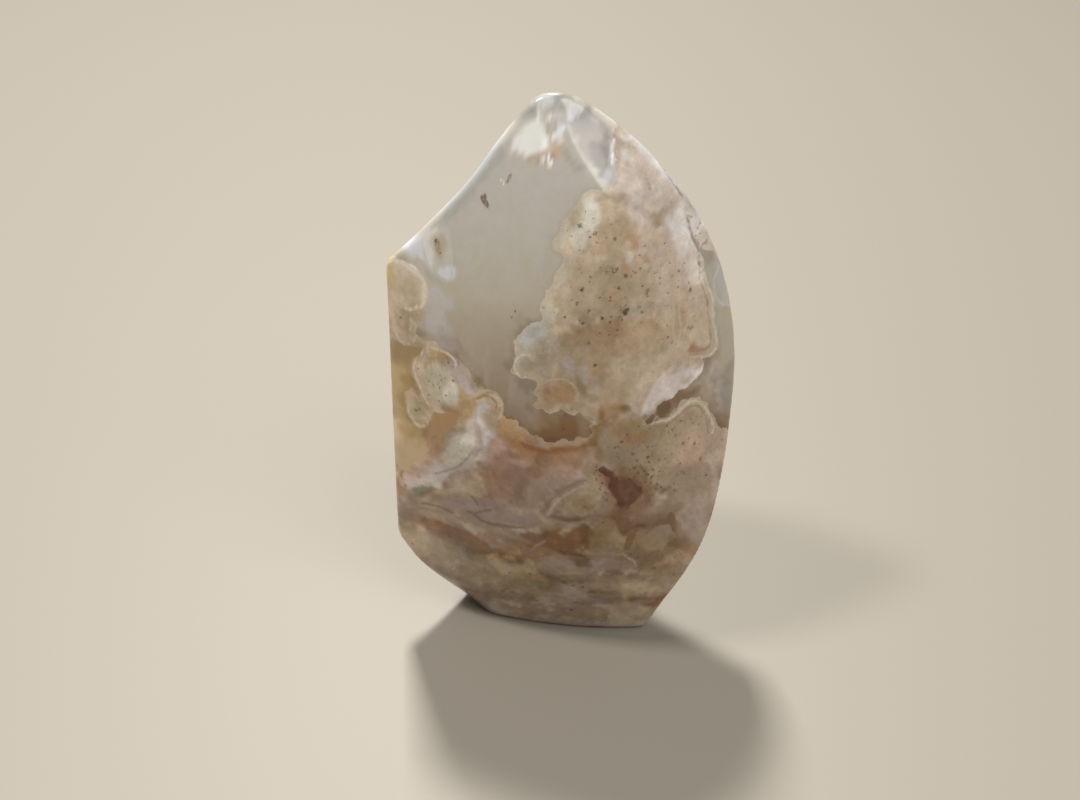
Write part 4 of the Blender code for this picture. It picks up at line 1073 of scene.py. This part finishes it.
def closed_curve(points):
    """A smooth closed curve through the points of an outline."""
    p = np.array(points, dtype=float)
    a, b, c, d = np.roll(p, 1, axis=0), p, np.roll(p, -1, axis=0), np.roll(p, -2, axis=0)
    spans = []
    for t in np.arange(OUTLINE_STEPS) / OUTLINE_STEPS:
        spans.append(b + 0.5 * t * (c - a + t * (2 * a - 5 * b + 4 * c - d + t * (3 * b - a - 3 * c + d))))
    curve = np.stack(spans, axis=1).reshape(-1, 2)
    return np.vstack([curve, curve[:1]])


def from_line(places, line):
    """How far places are from a line, and how far along it their nearest point is, from 0 to 1."""
    nearest = np.full(len(places), np.inf)
    along = np.zeros(len(places))
    for index, (start, end) in enumerate(zip(line, line[1:])):
        span = end - start
        t = np.clip((places - start) @ span / (span @ span), 0, 1)
        distance = np.linalg.norm(places - start - t[:, None] * span, axis=1)
        along = np.where(distance < nearest, (index + t) / (len(line) - 1), along)
        nearest = np.minimum(nearest, distance)
    return nearest, along


def inside(places, line):
    """Which places lie inside a closed line."""
    across, down = places.T
    found = np.zeros(len(places), dtype=bool)
    for start, end in zip(line, line[1:]):
        if start[1] == end[1]:
            continue
        passes = (start[1] > down) != (end[1] > down)
        meets = start[0] + (down - start[1]) * (end[0] - start[0]) / (end[1] - start[1])
        found ^= passes & (across < meets)
    return found


def close_to(places, line, reach):
    """Which places are within reach of the box round a line."""
    return ((places > line.min(axis=0) - reach) & (places < line.max(axis=0) + reach)).all(axis=1)


def depth_in(places, outline, reach):
    """How deep places lie in an outline, negative outside it, both up to reach."""
    line = closed_curve(outline)
    depth = np.full(len(places), -float(reach))
    near = close_to(places, line, reach)
    distance = np.minimum(from_line(places[near], line)[0], reach)
    depth[near] = np.where(inside(places[near], line), distance, -distance)
    return depth


def share_in(places, sway, softness, outline):
    """How much each place belongs to a soft outline, from 0 to 1."""
    swayed = places + sway[:, :2] * (SWAY_LEAST + min(softness, SWAY_FULL) / SWAY_FULL)
    rough = softness + ROUGH_LEAST
    depth = depth_in(swayed, outline, ROUGHEST * rough) + sway[:, 2] * rough
    return ease(0, 1, depth, -softness, softness)


def paint(colours, places, sway, patches):
    """Lays soft patches over the colours, one after the other."""
    for name, strength, softness, outline in patches:
        share = strength * share_in(places, sway, softness, outline)
        colours += share[:, None] * (colour(name) - colours)


def strengths(places, sway, patches):
    """The largest strength of the soft patches at each place."""
    total = np.zeros(len(places))
    for strength, softness, outline in patches:
        total = np.maximum(total, strength * share_in(places, sway, softness, outline))
    return total


def draw_lines(places, lines):
    """How deep each place lies in a vein, negative outside, and the colour of the nearest vein."""
    depth = np.full(len(places), -LINE_REACH)
    colours = np.tile(colour("cream"), (len(places), 1))
    for name, half_width, points in lines:
        line = np.vstack([curve_through(points), points[-1]])
        near = np.flatnonzero(close_to(places, line, LINE_REACH))
        distance, along = from_line(places[near], line)
        taper = 1 - np.abs(2 * along - 1) ** LINE_TAPER
        here = np.maximum(half_width * taper - distance, -LINE_REACH)
        nearer = here > depth[near]
        depth[near[nearer]] = here[nearer]
        colours[near[nearer]] = colour(name)
    return depth, colours


def draw_specks(places, specks):
    """How deep each place lies in a single speck, negative outside."""
    depth = np.full(len(places), -LINE_REACH)
    for radius, *middle in specks:
        depth = np.maximum(depth, radius - np.linalg.norm(places - middle, axis=1))
    return depth


def ground_colours(heights, steps):
    """The ground's colour at each height of the frame."""
    rows = [height for _, height in steps]
    shades = np.array([colour(name) for name, _ in steps])
    return np.stack([np.interp(heights, rows, shade) for shade in shades.T], axis=1)


def make_sheet(places, heights, marbling, sway,
               windows, clear_patches, blossom_patches, rims, lines, specks, grains):
    """All that one side of the stone shows, for every point of the mesh."""
    swayed = places + SWAY_LEAST * sway[:, :2]
    edge = np.full(len(places), -EDGE_REACH)
    for outline in windows:
        edge = np.maximum(edge, depth_in(swayed, outline, EDGE_REACH))
    clear = ground_colours(heights, CLEAR_GROUND)
    paint(clear, places, sway, clear_patches)
    blossom = ground_colours(heights, BLOSSOM_GROUND)
    for start, end, bands, steps in marbling:
        share = ease(0, 1, heights, *start) * ease(1, 0, heights, *end)
        blossom += share[:, None] * (ground_colours(bands, steps) - blossom)
    paint(blossom, places, sway, blossom_patches)
    line, line_colour = draw_lines(swayed, lines)
    return {
        "clear_edge": edge, "clear_colour": clear, "blossom_colour": blossom, "line": line,
        "line_colour": line_colour, "rim": strengths(places, sway, rims),
        "speck": draw_specks(places, specks), "grain": strengths(places, sway, grains),
    }


def seen_from_camera(points):
    """Where the photograph shows each point, in pixels of its frame."""
    ray = points - CAMERA
    depth = ray @ FORWARD
    across = FRAME_MIDDLE[0] + FOCAL_PX * ray[:, 0] / depth
    return np.stack([across, FRAME_MIDDLE[1] + FOCAL_PX * (ray @ DOWN) / depth], axis=1)


def marble_bands(points):
    """The marbling of the lower stone: for each kind its heights, its bands and the colours of its bands."""
    warp = cloud(points, *WARP_CLOUD)
    swirls = cloud(points * SWIRL_STRETCH, *SWIRL_CLOUD) + SWIRL_WARP * warp
    level = points[:, 2] + LAYER_FALL * np.minimum(points[:, 0], 0) + LAYER_WARP * warp
    layers = cloud(np.column_stack([points[:, :2] * LAYER_STRETCH, level]), *LAYER_CLOUD)
    return [(*SWIRL_HEIGHTS, swirls, SWIRL_COLOURS), (*LAYER_HEIGHTS, layers, LAYER_COLOURS)]


def to_pixels(outline):
    """The points of one of the back's outlines, in pixels instead of millimetres."""
    return [(x * PX_PER_MM, z * PX_PER_MM) for x, z in outline]


def in_pixels(patches):
    """The back's markings with their outlines in pixels."""
    return [(*patch[:-1], to_pixels(patch[-1])) for patch in patches]


def mark_stone(points):
    """Everything that the stone shows, for each point: the front's sheet, blending into the back's."""
    x, y, z = points.T
    front, back = front_y(x, z), back_y(x, z)
    share = np.clip((y - front) / np.maximum(back - front, 1), 0, 1)
    sway = SWAY * np.stack([cloud(points, *values) for values in SWAY_CLOUDS], axis=1)
    sway = np.column_stack([sway, ROUGHNESS * cloud(points, *ROUGH_CLOUD)])
    drift = DRIFT * np.stack([cloud(points, *values) for values in DRIFT_CLOUDS], axis=1)
    marbling = marble_bands(points)
    places = seen_from_camera(points)
    heights = places[:, 1] + HEIGHT_SWAY * cloud(points, *HEIGHT_CLOUD)
    shown = make_sheet(places + drift * ease(0, 1, share, *DRIFT_SHARES)[:, None], heights, marbling, sway,
                       WINDOWS, CLEAR_PATCHES, BLOSSOM_PATCHES, RIM_PATCHES, LINES, SPECKS, GRAIN_PATCHES)
    behind = make_sheet(points[:, [0, 2]] * PX_PER_MM, heights, marbling, sway,
                        [to_pixels(outline) for outline in BACK_WINDOWS],
                        in_pixels(BACK_CLEAR_PATCHES), in_pixels(BACK_BLOSSOM_PATCHES),
                        in_pixels(BACK_RIM_PATCHES), in_pixels(BACK_LINES),
                        [(radius, u * PX_PER_MM, v * PX_PER_MM) for radius, u, v in BACK_SPECKS],
                        in_pixels(BACK_GRAIN_PATCHES))
    turned = ease(0, 1, share + TURN_SWAY * cloud(points, *TURN_CLOUD), *TURN_SHARES)
    marks = {}
    for key, values in shown.items():
        weight = turned[:, None] if values.ndim == 2 else turned
        marks[key] = values + weight * (behind[key] - values)
    mottle = cloud(points, *MOTTLE_CLOUD)[:, None] * MOTTLE_TINT
    for key, strength in (("blossom_colour", BLOSSOM_MOTTLE), ("clear_colour", CLEAR_MOTTLE)):
        marks[key] = np.clip(marks[key] * (1 + strength * mottle), 0, 1)
    wisps = np.maximum(cloud(points * WISP_STRETCH, *WISP_CLOUD), 0) * WISP_STRENGTH
    marks["clear_colour"] += wisps[:, None] * (colour("grey high") - marks["clear_colour"])
    # Tones over the front: partly the stone's own, partly painted shade and painted light.
    for tone, softness, outline in TONES_AND_PAINTED_LIGHT:
        shaded = (1 - turned) * share_in(places, sway, softness, outline)
        tint = 1 + shaded[:, None] * (np.array(tone) ** SCREEN_GAMMA - 1)
        for key in ("blossom_colour", "clear_colour"):
            marks[key] = np.clip(marks[key] * tint, 0, 1)
    return marks


def keep_marks(mesh, marks):
    """Stores what the stone shows on the points of its mesh."""
    for name, values in marks.items():
        if values.ndim == 2:
            attribute = mesh.attributes.new(name, "FLOAT_COLOR", "POINT")
            with_alpha = np.hstack([values, np.ones((len(values), 1))])
            attribute.data.foreach_set("color", with_alpha.astype(np.float32).ravel())
        else:
            attribute = mesh.attributes.new(name, "FLOAT", "POINT")
            attribute.data.foreach_set("value", values.astype(np.float32))


def points_of(mesh):
    """The mesh's points, as rows of x, y and z."""
    points = np.empty(3 * len(mesh.vertices))
    mesh.vertices.foreach_get("co", points)
    return points.reshape(-1, 3)


def make_grid_box():
    """A box of four-sided cells, from a cube cut across, along its depth and along its height."""
    mesh = bmesh.new()
    bmesh.ops.create_cube(mesh, size=2.0)
    for axis, cells in enumerate(CELLS):
        along = [edge for edge in mesh.edges if abs((edge.verts[1].co - edge.verts[0].co)[axis]) > NO_LENGTH]
        bmesh.ops.subdivide_edges(mesh, edges=along, cuts=cells - 1, use_grid_fill=True)
    data = bpy.data.meshes.new(NAME)
    mesh.to_mesh(data)
    mesh.free()
    return data


def make_stone(shift):
    """The fine stone, and the places of its points in the design's millimetres."""
    data = make_grid_box()
    ball = points_of(data)
    ball /= np.linalg.norm(ball, axis=1, keepdims=True)
    ball[:, 1] -= FRONT_DENSER
    ball /= np.linalg.norm(ball, axis=1, keepdims=True)
    points = cast_onto_stone(ball)
    points[:, 2] = np.maximum(points[:, 2], BASE_CUT)
    data.vertices.foreach_set("co", ((points - shift) * MM).ravel())
    data.update()
    data.shade_smooth()
    stone = bpy.data.objects.new(NAME, data)
    bpy.context.scene.collection.objects.link(stone)
    return stone, points


class Nodes:
    """Builds a material's nodes, and links each to what feeds it."""

    def __init__(self, name):
        self.material = bpy.data.materials.new(name)
        self.material.use_nodes = True
        self.tree = self.material.node_tree
        self.shader = self.tree.nodes["Principled BSDF"]

    def add(self, kind, inputs=(), output=0, **settings):
        """A new node with its settings and inputs, and the output that is asked for."""
        node = self.tree.nodes.new(kind)
        for key, value in settings.items():
            setattr(node, key, value)
        for key, value in dict(inputs).items():
            self.feed(node.inputs[key], value)
        return node.outputs[output]

    def feed(self, socket, value):
        """Links a socket to another node's output, or sets its value."""
        if isinstance(value, bpy.types.NodeSocket):
            self.tree.links.new(value, socket)
        else:
            socket.default_value = value

    def attribute(self, name, output="Fac"):
        """What the mesh holds under a name."""
        return self.add("ShaderNodeAttribute", output=output, attribute_name=name)

    def maths(self, operation, *values):
        """A calculation with up to three numbers."""
        return self.add("ShaderNodeMath", enumerate(values), operation=operation)

    def times(self, first, second):
        """The product of two numbers."""
        return self.maths("MULTIPLY", first, second)

    def about_zero(self, value, depth):
        """A noise that goes from 0 to 1, made to go half the depth up and half down from zero."""
        return self.maths("MULTIPLY_ADD", value, depth, -depth / 2)

    def step(self, value, start, end):
        """A smooth step from 0 to 1 while the value goes from start to end."""
        return self.add("ShaderNodeMapRange", {0: value, 1: start, 2: end}, interpolation_type="SMOOTHSTEP")

    def noise(self, place, size, detail, roughness, distortion):
        """Noise with swellings of a size in millimetres."""
        inputs = {"Vector": place, "Scale": 1 / (size * MM), "Detail": detail, "Roughness": roughness,
                  "Distortion": distortion}
        return self.add("ShaderNodeTexNoise", inputs)

    def cells(self, place, size, output="Distance"):
        """Cells of a size in millimetres: the distance from their middles, or one colour for each."""
        return self.add("ShaderNodeTexVoronoi", {"Vector": place, "Scale": 1 / (size * MM)}, output)

    def mix(self, share, first, second, blend="MIX"):
        """Two colours mixed."""
        inputs = {0: share, 6: first, 7: second}
        return self.add("ShaderNodeMix", inputs, output=2, data_type="RGBA", blend_type=blend)


def stone_material():
    """Polished chalcedony: opaque blossoms and clear zones, with rims, veins, specks and fine grain."""
    make = Nodes("polished_agate")
    place = make.add("ShaderNodeTexCoord", output="Object")
    fine = make.noise(place, *FINE_NOISE)
    grit = make.noise(place, *GRIT_NOISE)
    tiny = make.noise(place, *TINY_NOISE)
    ragged = make.noise(place, *RAGGED_NOISE)
    shift = make.about_zero(ragged, RAGGED_DEPTH)
    scallops = make.about_zero(make.cells(place, LOBE_SIZE), LOBE_DEPTH)
    edge = make.maths("ADD", make.attribute("clear_edge"), make.maths("ADD", shift, scallops))
    clear_share = make.step(edge, *EDGE_STEP)

    grain = grain_colours(make, place, fine, grit)
    body = make.mix(1.0, make.attribute("blossom_colour", "Color"), grain, "MULTIPLY")
    rim_share = make.times(make.attribute("rim"), make.step(ragged, *RIM_GAPS))
    near_edge = make.times(make.step(edge, *RIM_STEP), rim_share)
    body = make.mix(make.times(near_edge, RIM_STRENGTH), body, RIM_COLOUR)
    skin = make.times(make.step(edge, *SKIN_STEP), rim_share)
    body = make.mix(make.times(skin, SKIN_STRENGTH), body, SKIN_COLOUR)
    for size in STREWN_SIZES:
        body = make.mix(strewn_specks(make, place, size, tiny), body, SPECK_COLOUR)

    haze = make.maths("MULTIPLY_ADD", fine, HAZE_STRENGTH, HAZE_LEAST)
    clear = make.mix(1.0, make.attribute("clear_colour", "Color"), haze, "MULTIPLY")
    shore = make.times(make.step(edge, *SHORE_STEP), make.attribute("rim"))
    clear = make.mix(make.times(shore, SHORE_STRENGTH), clear, SHORE_COLOUR)
    surface = make.mix(clear_share, body, clear)

    line_depth = make.maths("ADD", make.attribute("line"), make.times(shift, LINE_RAGGED))
    line_share = make.times(make.step(line_depth, *LINE_STEP), make.step(fine, *LINE_GAPS))
    surface = make.mix(make.times(line_share, LINE_STRENGTH), surface, make.attribute("line_colour", "Color"))
    speck_depth = make.maths("ADD", make.attribute("speck"), make.about_zero(tiny, SPECK_RAGGED))
    speck_share = make.times(make.step(speck_depth, *SPECK_STEP), SPECK_STRENGTH)
    surface = make.mix(speck_share, surface, SPECK_COLOUR)

    sockets = make.shader.inputs
    make.feed(sockets["Base Color"], surface)
    make.feed(sockets["Roughness"], make.maths("MULTIPLY_ADD", grit, GLOSS_GRIT, GLOSS_LEAST))
    make.feed(sockets["IOR"], IOR)
    make.feed(sockets["Subsurface Weight"], make.maths("MULTIPLY_ADD", clear_share, GLOW_CLEAR, GLOW_LEAST))
    make.feed(sockets["Subsurface Radius"], GLOW_TINT)
    make.feed(sockets["Subsurface Scale"], GLOW_DEPTH)
    wave = {"Strength": WAVE_STRENGTH, "Distance": WAVE_HEIGHT, "Height": fine}
    make.feed(sockets["Normal"], make.add("ShaderNodeBump", wave))
    return make.material


def grain_colours(make, place, fine, grit):
    """Plumes, flakes, pits and fine grain of the opaque parts, as a colour to multiply by."""
    plumes = make.noise(place, *PLUME_NOISE)
    flakes = make.step(make.noise(place, *FLAKE_NOISE), *FLAKE_STEP)
    pits = make.step(make.noise(place, *PIT_NOISE), *PIT_STEP)
    value = 1 - (FINE_STRENGTH + GRIT_STRENGTH + PLUME_STRENGTH + FLAKE_STRENGTH - PIT_STRENGTH) / 2
    for part, strength in ((fine, FINE_STRENGTH), (grit, GRIT_STRENGTH), (plumes, PLUME_STRENGTH),
                           (flakes, FLAKE_STRENGTH), (pits, -PIT_STRENGTH)):
        value = make.maths("MULTIPLY_ADD", part, strength, value)
    tint = make.mix(make.step(plumes, *PLUME_STEP), PLUME_COOL, PLUME_WARM)
    return make.mix(1.0, tint, value, "MULTIPLY")


def strewn_specks(make, place, size, tiny):
    """Fine specks, uneven in shape, more of them where the mesh asks for grain."""
    distance = make.cells(place, size)
    tint = make.cells(place, size, "Color")
    chance = make.add("ShaderNodeSeparateColor", {0: tint}, output=0)
    spread = make.add("ShaderNodeSeparateColor", {0: tint}, output=1)
    chosen = make.step(make.maths("SUBTRACT", make.attribute("grain"), chance), *STREWN_CHOICE)
    radius = make.maths("ADD", make.maths("MULTIPLY_ADD", spread, STREWN_SPREAD, STREWN_RADIUS),
                        make.about_zero(tiny, STREWN_RAGGED))
    dot = make.step(make.maths("SUBTRACT", radius, distance), *STREWN_STEP)
    return make.times(make.times(chosen, dot), STREWN_STRENGTH)


def make_camera(shift):
    """The camera at the photograph's place, tilt and angle of view."""
    data = bpy.data.cameras.new("camera")
    data.sensor_width = SENSOR_WIDTH
    data.lens = SENSOR_WIDTH * FOCAL_PX / FRAME_WIDTH
    data.clip_start = CLIP_START
    camera = bpy.data.objects.new("camera", data)
    camera.location = (CAMERA - shift) * MM
    camera.rotation_euler = (np.pi / 2 - TILT, 0, 0)
    bpy.context.scene.collection.objects.link(camera)
    bpy.context.scene.camera = camera


def make_floor():
    """A plain pale floor that the stone stands on."""
    bpy.ops.mesh.primitive_plane_add(size=FLOOR_SIZE)
    floor = bpy.context.object
    floor.name = "floor"
    material = bpy.data.materials.new("pale_floor")
    material.use_nodes = True
    shader = material.node_tree.nodes["Principled BSDF"]
    shader.inputs["Base Color"].default_value = FLOOR_COLOUR
    shader.inputs["Roughness"].default_value = FLOOR_ROUGHNESS
    floor.data.materials.append(material)


def make_light(name, place, size, power, tone):
    """A soft square light that faces the middle of the stone."""
    data = bpy.data.lights.new(name, "AREA")
    data.shape = "SQUARE"
    data.size = size
    data.energy = power
    data.color = tone
    light = bpy.data.objects.new(name, data)
    light.location = place
    light.rotation_euler = (LIGHT_TARGET - light.location).to_track_quat("-Z", "Y").to_euler()
    bpy.context.scene.collection.objects.link(light)


def make_studio():
    """Even pale surroundings and a few soft lights."""
    world = bpy.data.worlds.new("studio")
    world.use_nodes = True
    background = world.node_tree.nodes["Background"]
    background.inputs["Color"].default_value = AMBIENT_COLOUR
    background.inputs["Strength"].default_value = AMBIENT_STRENGTH
    bpy.context.scene.world = world
    for light in LIGHTS:
        make_light(*light)


def main():
    """The whole scene around the frame's part."""
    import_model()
    shift = np.array(SHIFT)
    make_camera(shift)
    make_studio()
    make_floor()
    stone, points = make_stone(shift)
    keep_marks(stone.data, mark_stone(points))
    stone.data.materials.append(stone_material())
    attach(stone, "root")
    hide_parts("agate_flame")
    bpy.context.scene.view_settings.view_transform = "Standard"
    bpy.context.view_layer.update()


main()
